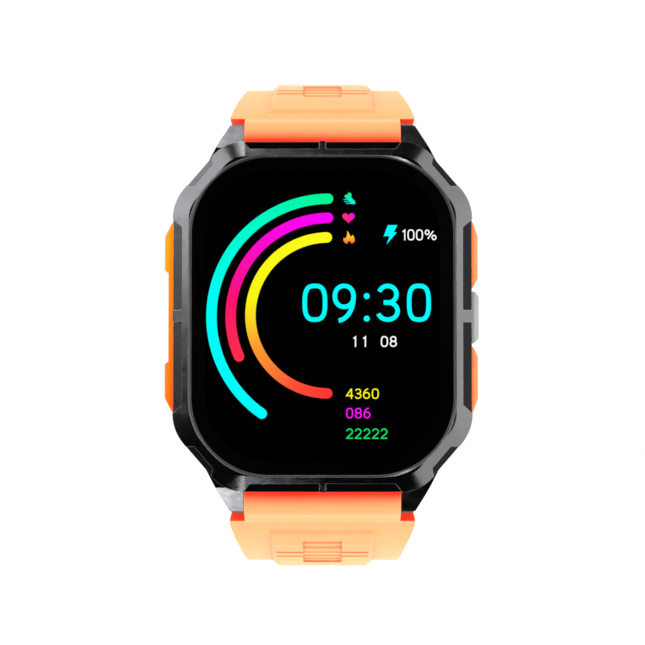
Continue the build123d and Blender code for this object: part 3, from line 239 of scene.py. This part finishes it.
def bezel_recesses(mat, axes):
    """Masks of all the recesses and of the diagonal ones alone."""
    across = mat.absolute(axes["X"])
    depth = mat.subtract(
        mat.add(axes["Y"], -SIDE_PLANE_Y * MM),
        mat.multiply(mat.subtract(across, SIDE_START_X * MM), SIDE_SLOPE))
    sides = mat.multiply(mat.rise(depth, 0.7, 0.95), mat.rise(across, 19.3, 19.5),
                         mat.fall(depth, 1.75, 1.85))
    # outward and sideways: distances from the corner recess along and across its diagonal
    along_x, along_z = DIAGONAL_AXIS
    from_x = mat.subtract(across, DIAGONAL_CENTRE[0] * MM)
    from_z = mat.subtract(mat.absolute(axes["Z"]), DIAGONAL_CENTRE[1] * MM)
    outward = mat.add(mat.multiply(from_x, along_x), mat.multiply(from_z, along_z))
    sideways = mat.absolute(
        mat.subtract(mat.multiply(from_z, along_x), mat.multiply(from_x, along_z)))
    depth = mat.subtract(
        mat.add(axes["Y"], -DIAGONAL_PLANE_Y * MM),
        mat.multiply(mat.add(outward, DIAGONAL_START * MM), DIAGONAL_SLOPE))
    diagonals = mat.multiply(mat.rise(depth, -0.2, -0.05), mat.fall(sideways, 2.75, 2.85),
                             mat.fall(depth, 0.2, 0.3), mat.fall(outward, 1.0, 1.1))
    return mat.math("MAXIMUM", sides, diagonals), diagonals


def dark_metal(name, base, rough, edge_wear_and_highlight, recessed=False):
    """Polished dark PVD metal: fine grain, faint brushed streaks, edges brighter from wear and
    from a painted highlight.
    """
    mat = Material(name)
    streak = mat.mottle(scale=900, to=(0.0, 0.12), detail=2, stretch=(1.0, 1.0, 9.0))
    # wear and painted highlight: sharp edges mixed towards a pale grey
    worn_and_highlighted = mat.multiply(
        mat.edge(radius=0.16, gain=4.0),
        mat.mottle(scale=420, to=(0.35, 1.0), band=(0.35, 0.65), detail=4), edge_wear_and_highlight)
    colour = mat.mix(streak, base, shade(base, 0.84))
    roughness = mat.mottle(scale=700, to=(rough - 0.05, rough + 0.07), band=(0.25, 0.75),
                           detail=4)
    if recessed:
        # painted shade: the matt recesses are darker than the surrounding bezel, darkest on the
        # right half
        axes = mat.axes(mat.place)
        recesses, diagonals = bezel_recesses(mat, axes)
        left = mat.mix(diagonals, (64, 64, 66), (84, 84, 86))
        inside = mat.mix(mat.rise(axes["X"], -1.0, 1.0), left, (31, 30, 32))
        colour = mat.mix(recesses, colour, inside)
        roughness = mat.add(roughness, mat.multiply(recesses, 0.12))
    mat.set(Base_Color=mat.mix(worn_and_highlighted, colour, (214, 206, 204)), Roughness=roughness,
            Metallic=1.0, Specular_IOR_Level=0.5)
    mat.relief(0.12, (mat.noise(scale=9000, detail=2), 0.03, 0.01),
               (mat.noise(scale=2600, detail=2), 0.015, 0.02))
    return mat.material


def polymer(name, base, dark=None, grain=3200, bump=0.25, rough=0.45, spec=0.45,
            edge_highlight_gain=0.25, sparkle=0.0, top=None):
    """Moulded polymer with spark-eroded grain and paler edges as painted highlight.

    top = (z where a second colour starts, z where it is full, colour), z in metres; used for
    painted light falling from above.
    """
    mat = Material(name)
    colour = mat.mix(mat.mottle(scale=300, to=(0.0, 0.5)), base, dark or shade(base, 0.86))
    if top:
        # painted light: the colour changes towards the top
        start, end, lit_top_colour = top
        height = mat.axes(mat.place)["Z"]
        colour = mat.mix(mat.remap(height, (start, end), to=(0.0, 0.9)), colour, lit_top_colour)
    if sparkle:
        cells = mat.node("TexVoronoi", {"Scale": 2600, "Vector": mat.place})
        flecks = mat.multiply(
            mat.remap(cells.outputs["Distance"], (0.0, 0.35), to=(1.0, 0.0)),
            mat.mottle(scale=1400, to=(0.0, 1.0), band=(0.5, 0.62), detail=2), sparkle)
        colour = mat.mix(flecks, colour, shade(base, 1.12, lift=40))
    edge = mat.multiply(mat.edge(radius=0.18, gain=3.0), edge_highlight_gain)
    # painted highlight: edges go 45 % of the way to white
    colour = mat.mix(edge, colour, shade(base, 0.55, lift=0.45 * 255))
    mat.set(Base_Color=colour, Specular_IOR_Level=spec,
            Roughness=mat.mottle(scale=800, to=(rough - 0.06, rough + 0.08)))
    mat.relief(0.15, (mat.noise(scale=grain), bump, 0.03),
               (mat.noise(scale=grain * 0.35, detail=2), bump * 0.5, 0.04))
    return mat.material


def steel(name, base=(178, 178, 180), rough=0.28, stretch=(14.0, 1.0, 1.0)):
    """Turned or drawn metal with fine lay marks and faint handling haze."""
    mat = Material(name)
    lay = mat.noise(scale=1500, detail=2, stretch=stretch)
    colour = mat.mix(mat.remap(lay, (0.3, 0.7), to=(0.0, 0.5)), base, shade(base, 0.8))
    mat.set(Base_Color=colour, Metallic=1.0,
            Roughness=mat.mottle(scale=600, to=(rough - 0.06, rough + 0.1)))
    mat.relief(0.05, (lay, 0.12, 0.01))
    return mat.material


def filter_glass(name):
    """Dark transmitting glass with faint smears in the roughness."""
    mat = Material(name)
    mat.set(Base_Color=mat.mix(mat.mottle(scale=40, to=(0.0, 0.04), detail=2),
                               (60, 52, 58), (236, 240, 242)),
            Transmission_Weight=1.0, IOR=1.5, Specular_IOR_Level=0.5,
            Roughness=mat.mottle(scale=120, to=(0.02, 0.04), band=(0.45, 0.75), detail=4))
    return mat.material


GLASS_HALF_SIZE = {"X": 18.25, "Z": 22.1}     # mm
GLASS_CORNER = 10.9                           # corner radius, mm


def watch_glass(name):
    """Front glass: clear window, black printed border and a ground lip with a painted glow as
    its highlight.
    """
    mat = Material(name)
    axes = mat.axes(mat.place)
    squares = []
    for axis, half in GLASS_HALF_SIZE.items():
        beyond = mat.subtract(mat.absolute(axes[axis]), (half - GLASS_CORNER) * MM)
        beyond = mat.math("MAXIMUM", beyond, 0.0)
        squares.append(mat.multiply(beyond, beyond))
    # 0 in the middle, growing to the corner radius at the outline
    reach = mat.math("SQRT", mat.add(*squares), 0.0)
    border = ((GLASS_CORNER - 2.05) * MM, (GLASS_CORNER - 2.0) * MM)
    lip = mat.rise(reach, GLASS_CORNER - 0.14, GLASS_CORNER - 0.04)
    # painted highlight: the lip glows at the left, right and lower edge, less at the top
    lower = mat.remap(axes["Z"], (12 * MM, 21 * MM), to=(1.0, 0.45))
    mat.set(Base_Color=mat.mix(mat.mottle(scale=40, to=(0.0, 1.0), detail=2),
                               (0, 0, 0), (3, 3, 3)),
            IOR=1.45, Specular_IOR_Level=0.25,
            Roughness=mat.mottle(scale=120, to=(0.02, 0.05), band=(0.45, 0.75), detail=4),
            Alpha=mat.remap(reach, border, to=(0.06, 1.0)),
            Emission_Color=mat.mix(mat.mottle(scale=300, to=(0.0, 0.6)),
                                   (190, 188, 186), (120, 118, 118)),
            Emission_Strength=mat.multiply(lip, lower, 0.32))
    mat.material.blend_method = "HASHED"
    return mat.material


def panel(name):
    """Display panel: near-black laminate with a faint checkered grid."""
    mat = Material(name)
    grid = mat.node("TexChecker", {"Scale": 18000, "Vector": mat.place}).outputs["Fac"]
    mat.set(Base_Color=mat.mix(mat.multiply(grid, 0.3), (0, 0, 0), (2, 2, 2)),
            Specular_IOR_Level=0.0, Roughness=mat.mottle(scale=90, to=(0.5, 0.6)))
    return mat.material


def board(name):
    """Green solder mask over copper: tracks show as faint raised lines."""
    mat = Material(name)
    green = (12, 60, 34)
    inputs = {"Scale": 320, "Mortar Size": 0.03,
              "Vector": mat.mapped(Rotation=(math.radians(90), 0, 0))}
    tracks = mat.node("TexBrick", inputs).outputs["Fac"]
    colour = mat.mix(mat.multiply(tracks, 0.6), green, shade(green, 1.7, lift=8))
    blotch = mat.mottle(scale=500, to=(0.0, 0.3), band=(0.35, 0.65))
    mat.set(Base_Color=mat.mix(blotch, colour, shade(green, 0.7)),
            Roughness=mat.mottle(scale=700, to=(0.3, 0.42)))
    mat.relief(None, (tracks, 0.3, 0.03))
    return mat.material


def foil(name, base):
    """Crinkled metallic skin."""
    mat = Material(name)
    crinkle = mat.noise(scale=420, detail=5, roughness=0.65, distortion=0.4)
    folds = mat.remap(crinkle, (0.35, 0.65), to=(0.0, 0.6))
    mat.set(Base_Color=mat.mix(folds, base, shade(base, 0.82)), Metallic=0.9,
            Roughness=mat.remap(crinkle, (0.3, 0.7), to=(0.24, 0.42)))
    mat.relief(0.2, (crinkle, 0.35, 0.08))
    return mat.material


def woven_mesh(name):
    """Two crossed sets of metal wires."""
    mat = Material(name)
    wires = [mat.node("TexWave", {"Scale": 1600, "Vector": mat.place},
                      bands_direction=axis).outputs["Fac"] for axis in "XY"]
    height = mat.math("MAXIMUM", *wires)
    mat.set(Base_Color=mat.mix(height, (16, 16, 16), (120, 120, 122)),
            Metallic=0.8, Roughness=0.4)
    mat.relief(None, (height, 0.6, 0.05))
    return mat.material


# (material, pieces that wear it)
FINISHES = [
    (silicone("orange_silicone"), "strap_upper strap_lower fixed_keeper sliding_keeper"),
    (dark_metal("bezel_pvd", base=(98, 98, 100), rough=0.17, edge_wear_and_highlight=0.75, recessed=True),
     "top_bezel"),
    (dark_metal("frame_pvd", base=(92, 91, 93), rough=0.2, edge_wear_and_highlight=0.5), "mid_frame"),
    (polymer("rear_polymer", (26, 26, 28), grain=3000, bump=0.3, rough=0.48, spec=0.4,
             edge_highlight_gain=0.2), "rear_cover"),
    (polymer("orange_guard", (234, 92, 0), dark=(230, 86, 0), grain=2600, bump=0.5,
             rough=0.55, spec=0.08, edge_highlight_gain=0.06, sparkle=0.4,
             # painted light: the guard is lighter towards its top
             top=(-0.013, 0.012, (246, 138, 2))), "left_guard"),
    (polymer("peach_pusher", (250, 138, 78), dark=(246, 110, 52), grain=3600, bump=0.18,
             rough=0.42, spec=0.2, edge_highlight_gain=0.2), "upper_button lower_button"),
    (polymer("grey_pusher", (150, 149, 150), dark=(134, 133, 135), grain=3600, bump=0.15,
             rough=0.36, edge_highlight_gain=0.4), "centre_button"),
    (dark_metal("buckle_pvd", base=(92, 92, 95), rough=0.26, edge_wear_and_highlight=0.4),
     "buckle_frame buckle_tongue"),
    (steel("turned_steel"),
     "chassis_screws vibration_motor motor_shaft rear_screws charge_magnets upper_bar_tube "
     "lower_bar_tube upper_bar_pin lower_bar_pin buckle_pin"),
    (steel("spring_wire", (150, 150, 154), rough=0.3),
     "upper_bar_spring lower_bar_spring upper_button_clip centre_button_clip "
     "lower_button_clip upper_button_spring centre_button_spring lower_button_spring"),
    (watch_glass("cover_glass"), "cover_glass"),
    (filter_glass("sensor_filter_glass"), "sensor_window"),
    (panel("display_laminate"), "display_panel"),
    (board("solder_mask"), "main_board sensor_board"),
    (polymer("moulded_epoxy", (30, 30, 31), grain=2600, bump=0.3, rough=0.55),
     "board_chips speaker side_switches sensor_light_shield"),
    (steel("tinned_steel", (186, 186, 182), rough=0.36), "board_shield microphone"),
    (foil("die_cast_magnesium", (120, 122, 126)), "inner_chassis"),
    (foil("battery_foil", (176, 178, 182)), "battery"),
    (polymer("closed_cell_foam", (26, 26, 27), grain=1800, bump=0.9, rough=0.85, spec=0.1,
             edge_highlight_gain=0.05), "battery_pad"),
    (polymer("seal_rubber", (18, 18, 18), grain=2400, bump=0.2, rough=0.6, spec=0.3,
             edge_highlight_gain=0.1),
     "glass_gasket rear_gasket upper_button_seal centre_button_seal lower_button_seal"),
    (polymer("sintered_ceramic", (214, 206, 180), grain=2400, bump=0.15, rough=0.5),
     "gps_antenna"),
    (polymer("polyimide_film", (176, 104, 32), grain=1200, bump=0.08, rough=0.3),
     "display_flex"),
    (steel("gold_plate", (222, 178, 92), rough=0.22, stretch=(1.0, 14.0, 1.0)),
     "charge_contacts"),
    (polymer("led_encapsulant", (132, 196, 120), grain=2200, bump=0.1, rough=0.2, spec=0.6),
     "sensor_leds"),
    (steel("sintered_tungsten", (92, 92, 96), rough=0.42), "eccentric_weight"),
    (woven_mesh("woven_mesh"), "speaker_mesh"),
]
for material, piece_names in FINISHES:
    for piece_name in piece_names.split():
        slots = PIECES[piece_name].data.materials
        slots.clear()
        slots.append(material)


# ------------------------------------------------------------------ dial shapes
# A part is (points, faces): x, z points in mm and tuples of indices into them.
def plate(name, parts, material):
    """A thin closed plate from flat parts, riding on the case as part of the display."""
    mesh = bpy.data.meshes.new(name)
    builder = bmesh.new()
    for points, faces in parts:
        verts = [builder.verts.new((x * MM, DIAL_Y * MM, z * MM)) for x, z in points]
        for face in faces:
            builder.faces.new([verts[i] for i in face])
    bmesh.ops.recalc_face_normals(builder, faces=builder.faces)
    extruded = bmesh.ops.extrude_face_region(builder, geom=list(builder.faces))["geom"]
    back = [item for item in extruded if isinstance(item, bmesh.types.BMVert)]
    bmesh.ops.translate(builder, verts=back, vec=(0, DIAL_THICKNESS * MM, 0))
    bmesh.ops.recalc_face_normals(builder, faces=builder.faces)
    builder.to_mesh(mesh)
    builder.free()
    obj = bpy.data.objects.new(name, mesh)
    bpy.context.scene.collection.objects.link(obj)
    mesh.materials.append(material)
    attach(obj, "case")


def polygon(points):
    return points, [range(len(points))]


def disc(x, z, radius, steps=24):
    turns = [2 * math.pi * i / steps for i in range(steps)]
    return polygon([(x + radius * math.cos(t), z - radius * math.sin(t)) for t in turns])


def band(centre, radius, stroke, start, end, steps_per_turn=120, cap_steps=12):
    """Arc with round ends. Degrees, anticlockwise from 3 o'clock."""
    half = stroke / 2

    def polar(distance, angle):
        return (centre[0] + distance * math.cos(angle), centre[1] + distance * math.sin(angle))

    def cap(angle, sign):
        """Half circle from the outer edge round to the inner edge."""
        angle = math.radians(angle)
        x, z = polar(radius, angle)
        points = []
        for i in range(1, cap_steps):
            turn = math.pi * i / cap_steps
            radial = half * math.cos(turn)
            along = half * math.sin(turn) * sign
            points.append((x + radial * math.cos(angle) - along * math.sin(angle),
                           z + radial * math.sin(angle) + along * math.cos(angle)))
        return points

    count = int(steps_per_turn * (end - start) / 360)
    angles = [math.radians(start + (end - start) * i / count) for i in range(count + 1)]
    outer = [polar(radius + half, angle) for angle in angles]
    inner = [polar(radius - half, angle) for angle in angles]
    return polygon(outer + cap(end, 1) + inner[::-1] + cap(start, -1)[::-1])


MITRE_LIMIT = 0.45


def ribbon(line, half_width, closed):
    """Stroke along a centre line, with mitred corners and butt ends."""
    count = len(line)
    points = []
    for i, (x, z) in enumerate(line):
        spans = []
        if closed or i > 0:
            spans.append((line[i - 1], line[i]))
        if closed or i < count - 1:
            spans.append((line[i], line[(i + 1) % count]))
        normals = []
        for first, second in spans:
            length = math.dist(first, second)
            normals.append(((first[1] - second[1]) / length, (second[0] - first[0]) / length))
        side_x = sum(normal[0] for normal in normals)
        side_z = sum(normal[1] for normal in normals)
        length = math.hypot(side_x, side_z)
        side_x, side_z = side_x / length, side_z / length
        cosine = side_x * normals[0][0] + side_z * normals[0][1]
        reach = half_width / max(MITRE_LIMIT, cosine)
        points += [(x + side_x * reach, z + side_z * reach),
                   (x - side_x * reach, z - side_z * reach)]
    faces = []
    for i in range(count if closed else count - 1):
        j = (i + 1) % count
        faces.append((2 * i, 2 * i + 1, 2 * j + 1, 2 * j))
    return points, faces


def arc(centre, radii, angles, steps=28, power=2.0):
    """Superellipse arc between two angles in degrees; power 2 is an ellipse."""
    start, end = angles
    points = []
    for i in range(steps + 1):
        angle = math.radians(start + (end - start) * i / steps)
        point = []
        for middle, radius, wave in zip(centre, radii, (math.cos(angle), math.sin(angle))):
            point.append(middle + radius * math.copysign(abs(wave) ** (2 / power), wave))
        points.append(tuple(point))
    return points


def oval(centre, radii, steps=28, power=2.0):
    """Closed stroke that stops just short of its start; the ribbon joins the two."""
    return True, arc(centre, radii, (90, 448), steps, power)[:-1]


def stroke(*points):
    return False, list(points)


# each glyph: strokes (closed, centre line) in a unit box
GLYPHS = {
    "0": [oval((0.5, 0.5), (0.5, 0.5), steps=56, power=2.9)],
    "1": [stroke((0.0, 0.8), (1.0, 0.98), (1.0, -0.06))],
    "2": [stroke(*arc((0.5, 0.7), (0.48, 0.3), (172, -28)),
                 (0.03, 0.03), (0.03, 0.0), (1.06, 0.0))],
    "3": [stroke(*arc((0.48, 0.75), (0.46, 0.25), (162, -86)), (0.26, 0.51)),
          stroke((0.26, 0.51), *arc((0.48, 0.255), (0.52, 0.255), (88, -162)))],
    "4": [stroke((0.72, 1.02), (0.0, 0.28), (1.06, 0.28)), stroke((0.76, 1.06), (0.76, -0.06))],
    "6": [oval((0.5, 0.31), (0.5, 0.31), steps=44, power=2.15),
          stroke(*arc((0.86, 0.34), (0.86, 0.69), (94, 182)))],
    "8": [oval((0.5, 0.76), (0.44, 0.24), steps=40, power=2.1),
          oval((0.5, 0.26), (0.5, 0.26), steps=40, power=2.1)],
    "9": [oval((0.5, 0.69), (0.5, 0.31), steps=44, power=2.15),
          stroke(*arc((0.14, 0.66), (0.86, 0.69), (-86, 2)))],
    "%": [oval((0.18, 0.76), (0.18, 0.22)), oval((0.82, 0.24), (0.18, 0.22)),
          stroke((0.24, 0.1), (0.76, 0.9))],
}


def writing(name, glyphs, top, bottom, width, material, dots=()):
    """Numerals drawn with strokes of one width. glyphs = [(character, left x, right x)]"""
    half = width / 2
    parts = []
    for character, left, right in glyphs:
        for closed, line in GLYPHS[character]:
            placed = [(left + half + across * (right - left - width),
                       bottom + half + up * (top - bottom - width)) for across, up in line]
            parts.append(ribbon(placed, half, closed))
    plate(name, parts + [disc(*dot) for dot in dots], material)


# ------------------------------------------------------------------ dial light
GLOW_STRENGTH = 1.12
RING_CENTRE = (0.99656, -0.072344)    # x, z


def glow(name, source):
    """Lit display element. source(mat) gives its colour socket."""
    mat = Material(name)
    grid = mat.mottle(scale=16000, to=(0.94, 1.0), detail=0)
    mat.set(Base_Color=(0, 0, 0), Specular_IOR_Level=0.0, Roughness=0.6,
            Emission_Color=mat.mix(1.0, source(mat), grid, blend_type="MULTIPLY"),
            Emission_Strength=GLOW_STRENGTH)
    return mat.material


def flat(*colour):
    def source(mat):
        socket = mat.node("RGB", {}).outputs[0]
        mat.feed(socket, colour)
        return socket
    return source


def along(axis, start, end, stops):
    """Colour ramp along an axis between two places in mm."""
    return lambda mat: mat.ramp(mat.rise(mat.axes(mat.place)[axis], start, end), stops)


def around(sweep, stops):
    """Colour ramp anticlockwise round the ring centre, from 12 o'clock over sweep degrees."""
    margin = 0.3        # radians kept below zero, so the round start cap does not wrap

    def source(mat):
        axes = mat.axes(mat.place)
        from_x = mat.subtract(axes["X"], RING_CENTRE[0] * MM)
        from_z = mat.subtract(axes["Z"], RING_CENTRE[1] * MM)
        angle = mat.math("ARCTAN2", mat.multiply(from_x, -1.0), from_z)
        wrapped = mat.math("MODULO", mat.add(angle, 2 * math.pi + margin), 2 * math.pi)
        angle = mat.subtract(wrapped, margin)
        return mat.ramp(mat.remap(angle, (0.0, math.radians(sweep)), to=(0.0, 1.0)), stops)
    return source


# ------------------------------------------------------------------ dial rings
RING_STROKE = 1.43963
RING_START_GAP = 0.22363        # arc length between 12 o'clock and the start of each ring
# name, centre, radius, end angle, colour sweep, colour stops
RINGS = [
    ("outer", RING_CENTRE, 16.40903, 235.0563, 120,
     [(0.0, (0, 250, 150)), (0.35, (0, 255, 205)), (0.75, (0, 255, 255)), (1.0, (0, 255, 255))]),
    ("middle", RING_CENTRE, 13.73942, 203.773, 115,
     [(0.0, (255, 0, 255)), (0.25, (255, 10, 230)), (0.7, (255, 20, 110)),
      (1.0, (255, 45, 75))]),
    ("inner", (0.82884, 0.10936), 10.8322, 269.1129, 180,
     [(0.0, (255, 255, 30)), (0.42, (255, 250, 20)), (0.62, (255, 160, 50)),
      (0.85, (255, 80, 55)), (1.0, (255, 55, 50))]),
]
for name, centre, radius, end, sweep, stops in RINGS:
    start = 90 + math.degrees(RING_START_GAP / radius)
    plate("dial_arc_" + name, [band(centre, radius, RING_STROKE, start, end)],
          glow("dial_ring_" + name, around(sweep, stops)))

# ------------------------------------------------------------------ dial numerals
cyan = glow("dial_cyan", flat(0, 255, 255))
white = glow("dial_white", flat(255, 255, 255))
yellow = glow("dial_yellow", flat(250, 245, 20))
magenta = glow("dial_magenta", flat(255, 20, 245))
green = glow("dial_green", flat(20, 225, 105))

CAPTION_WIDTH = 0.17751         # stroke width of the small captions
STEPS_LEFT = 3.26084            # left edge of the first step digit
STEPS_PITCH = 1.19504
STEPS_DIGIT = 0.97839           # digit width

COLON_X = 6.1401
COLON_RADIUS = 0.41931
writing("dial_time",
        [("0", -2.7772, 0.6611), ("9", 1.4019, 4.6166), ("3", 7.4819, 10.7386),
         ("0", 11.7169, 15.0435)],
        top=4.5121, bottom=-0.7991, width=0.62897, material=cyan,
        dots=[(COLON_X, 2.779, COLON_RADIUS), (COLON_X, -0.3519, COLON_RADIUS)])
writing("dial_date",
        [("1", 4.1973, 4.6725), ("1", 5.5671, 6.0423), ("0", 8.0829, 9.0893),
         ("8", 9.3269, 10.3192)],
        top=-2.7699, bottom=-4.2794, width=0.19009, material=white)
writing("dial_charge",
        [("1", 11.046, 11.5213), ("0", 11.8008, 12.7792), ("0", 12.9889, 13.9672),
         ("%", 14.1909, 15.8402)],
        top=12.0597, bottom=10.5222, width=CAPTION_WIDTH, material=white)
writing("dial_calories",
        [("4", 3.2608, 4.3091), ("3", 4.4768, 5.3993), ("6", 5.609, 6.5874),
         ("0", 6.825, 7.8034)],
        top=-10.038, bottom=-11.4776, width=CAPTION_WIDTH, material=yellow)
writing("dial_pulse",
        [("0", 3.2748, 4.2392), ("8", 4.4768, 5.4552), ("6", 5.6789, 6.6573)],
        top=-12.7216, bottom=-14.1752, width=CAPTION_WIDTH, material=magenta)
writing("dial_steps",
        [("2", STEPS_LEFT + STEPS_PITCH * i, STEPS_LEFT + STEPS_PITCH * i + STEPS_DIGIT)
         for i in range(5)],
        top=-15.5589, bottom=-17.0125, width=CAPTION_WIDTH, material=green)

# ------------------------------------------------------------------ dial icons
# outlines as x, z in mm
BOLT = [(9.0893, 12.6607), (10.4031, 12.6607), (9.8999, 11.6404), (10.3332, 11.6404),
        (8.8936, 9.9632), (9.2989, 11.1093), (8.4882, 11.1093)]
FLAME = [(3.4114, 11.8619), (3.6802, 11.5259), (3.8481, 11.1227), (4.0161, 11.0555),
         (4.1841, 11.3243), (4.4193, 10.9211), (4.4865, 10.5179), (4.3185, 10.2156),
         (4.0161, 10.0476), (3.9153, 10.2828), (3.7138, 10.4507), (3.5122, 10.2828),
         (3.445, 10.0476), (3.109, 10.182), (2.9074, 10.5179), (2.941, 10.9211),
         (3.1426, 10.7531), (3.3442, 11.0555), (3.445, 11.4587)]
SHOE = [(3.6466, 17.2377), (4.0497, 17.0025), (3.9825, 16.5321), (4.3521, 16.1289),
        (4.5537, 15.9609), (4.5537, 15.5913), (3.9825, 15.5913), (3.5458, 16.0617),
        (3.0418, 16.6665), (3.277, 16.9353), (3.4786, 16.9017)]
# left, right, top, bottom of the bars beside the shoe
SHOE_LINES = [(2.9074, 3.3778, 16.2633, 16.1625), (3.0418, 3.5794, 15.9945, 15.8937),
              (3.277, 3.8145, 15.7257, 15.6249)]


def heart(steps=48):
    centre_x, centre_z = 3.61027, 13.70901
    half_width = 0.860985
    height_scale = 0.0503173
    points = []
    for i in range(steps):
        turn = 2 * math.pi * i / steps
        height = (13 * math.cos(turn) - 5 * math.cos(2 * turn)
                  - 2 * math.cos(3 * turn) - math.cos(4 * turn))
        points.append((centre_x + half_width * math.sin(turn) ** 3,
                       centre_z + height_scale * height))
    return points


teal = glow("dial_teal", along("Z", 17.25917, 15.44216,
                               [(0.0, (10, 240, 130)), (1.0, (20, 250, 235))]))
rose = glow("dial_rose", along("X", 2.771645, 4.448888,
                               [(0.0, (255, 55, 80)), (0.55, (255, 30, 150)),
                                (1.0, (250, 20, 240))]))
fire = glow("dial_fire", along("Z", 11.80813, 9.991117,
                               [(0.0, (255, 235, 30)), (0.5, (255, 190, 40)),
                                (1.0, (255, 60, 60))]))
plate("dial_bolt", [polygon(BOLT)], cyan)
plate("dial_heart", [polygon(heart())], rose)
plate("dial_flame", [polygon(FLAME)], fire)
plate("dial_shoe", [polygon(SHOE)], teal)
plate("dial_shoe_lines",
      [polygon([(left, top), (right, top), (right, bottom), (left, bottom)])
       for left, right, top, bottom in SHOE_LINES], teal)

# ------------------------------------------------------------------ studio, in metres
FLOOR_HALF = 3.0
FLOOR_DROP = 0.070      # room for the lower strap half to swing fully down


def studio_floor():
    """Bright matt floor, hidden from reflections."""
    mesh = bpy.data.meshes.new("studio_floor")
    corners = [(-1, -1), (1, -1), (1, 1), (-1, 1)]
    mesh.from_pydata([(x * FLOOR_HALF, y * FLOOR_HALF, 0) for x, y in corners], [],
                     [(0, 1, 2, 3)])
    floor = bpy.data.objects.new("studio_floor", mesh)
    low = min(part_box("strap_lower")[0].z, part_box("strap_upper")[0].z)
    floor.location = (0, 0, low - FLOOR_DROP)
    floor.visible_glossy = False
    bpy.context.scene.collection.objects.link(floor)
    material = bpy.data.materials.new("studio_floor")
    material.use_nodes = True
    inputs = material.node_tree.nodes["Principled BSDF"].inputs
    inputs["Base Color"].default_value = (0.95, 0.95, 0.95, 1)
    inputs["Roughness"].default_value = 0.9
    inputs["Specular IOR Level"].default_value = 0.0
    inputs["Emission Color"].default_value = (1, 1, 1, 1)
    inputs["Emission Strength"].default_value = 0.55
    mesh.materials.append(material)


def studio_world():
    """White behind the watch, dark in front with a soft bright band on either side."""
    world = bpy.data.worlds.new("studio")
    bpy.context.scene.world = world
    world.use_nodes = True
    graph = Graph(world.node_tree)
    axes = graph.axes(graph.node("TexCoord", {}).outputs["Generated"])

    def smooth(axis, span, to):
        return graph.remap(axes[axis], span, to, interpolation_type="SMOOTHSTEP")

    rear = smooth("Y", (-0.28, -0.08), to=(0.0, 1.0))
    left = graph.multiply(smooth("X", (-0.95, -0.62), to=(1.0, 0.0)),
                          smooth("Z", (-0.1, 0.5), to=(0.05, 0.9)))
    right = graph.multiply(smooth("X", (0.66, 0.97), to=(0.0, 1.0)), 0.5)
    bands = graph.multiply(graph.add(left, right), graph.subtract(1.0, rear))
    shaped = graph.add(graph.add(rear, bands), 0.012)
    # the camera sees plain white; only lighting and reflections see the shape
    camera_ray = graph.node("LightPath", {}).outputs["Is Camera Ray"]
    background = graph.nodes["Background"].inputs
    graph.feed(background["Strength"], graph.math("MAXIMUM", shaped, camera_ray))
    graph.feed(background["Color"], (255, 255, 255))


def area(name, location, target, size, power, glossy=True):
    light = bpy.data.lights.new(name, "AREA")
    light.energy = power
    light.size = size
    obj = bpy.data.objects.new(name, light)
    obj.location = location
    aim = Vector(target) - Vector(location)
    obj.rotation_euler = aim.to_track_quat("-Z", "Y").to_euler()
    obj.visible_glossy = glossy
    bpy.context.scene.collection.objects.link(obj)
    return light


# square lights left out of reflections: name, location, target, size, power in watts
FILL_LIGHTS = [
    ("key_front", (-0.25, -0.7, 0.45), (0, 0, 0), 0.5, 2.85),
    ("key_top", (0.0, -0.25, 0.8), (0, 0.02, 0), 0.6, 1.5),
    ("fill_low", (0.1, -0.6, -0.03), (0, 0.02, -0.02), 0.4, 1.2),
]
# boxes reflected in the metal: name, location, target, width, height, radiance
# the two cards light the lug tips on the left
SOFTBOXES = [
    ("strip_left", (-0.25, -0.16, 0.209), (-0.02, -0.012, 0.209), 0.22, 0.382, 2.9),
    ("strip_right", (0.25, -0.16, 0.0), (0.02, -0.012, 0.0), 0.22, 0.70, 1.95),
    ("card_upper", (-0.047, -0.052, 0.173), (-0.018, -0.0073, 0.026), 0.07, 0.034, 6.5),
    ("card_lower", (-0.047, -0.063, -0.173), (-0.018, -0.0073, -0.026), 0.07, 0.034, 10.5),
]
CAMERA_DISTANCE = 300.0     # from the glass, mm
CAMERA_Z = -11.93           # mm
CAMERA_PITCH = 92.1         # degrees; 90 looks level along +Y
CAMERA_LENS = 121.2279      # focal length, mm


def camera():
    data = bpy.data.cameras.new("camera")
    obj = bpy.data.objects.new("camera", data)
    bpy.context.scene.collection.objects.link(obj)
    data.sensor_width = 36.0
    data.lens = CAMERA_LENS
    data.clip_start = 0.01
    obj.location = (0, (GLASS_Y - CAMERA_DISTANCE) * MM, CAMERA_Z * MM)
    obj.rotation_euler = (math.radians(CAMERA_PITCH), 0, 0)
    bpy.context.scene.camera = obj


studio_floor()
studio_world()
for row in FILL_LIGHTS:
    area(*row, glossy=False)
for name, location, target, width, height, radiance in SOFTBOXES:
    light = area(name, location, target, width, radiance * math.pi * width * height)
    light.shape = "RECTANGLE"
    light.size_y = height
camera()
bpy.context.scene.view_settings.view_transform = "Standard"
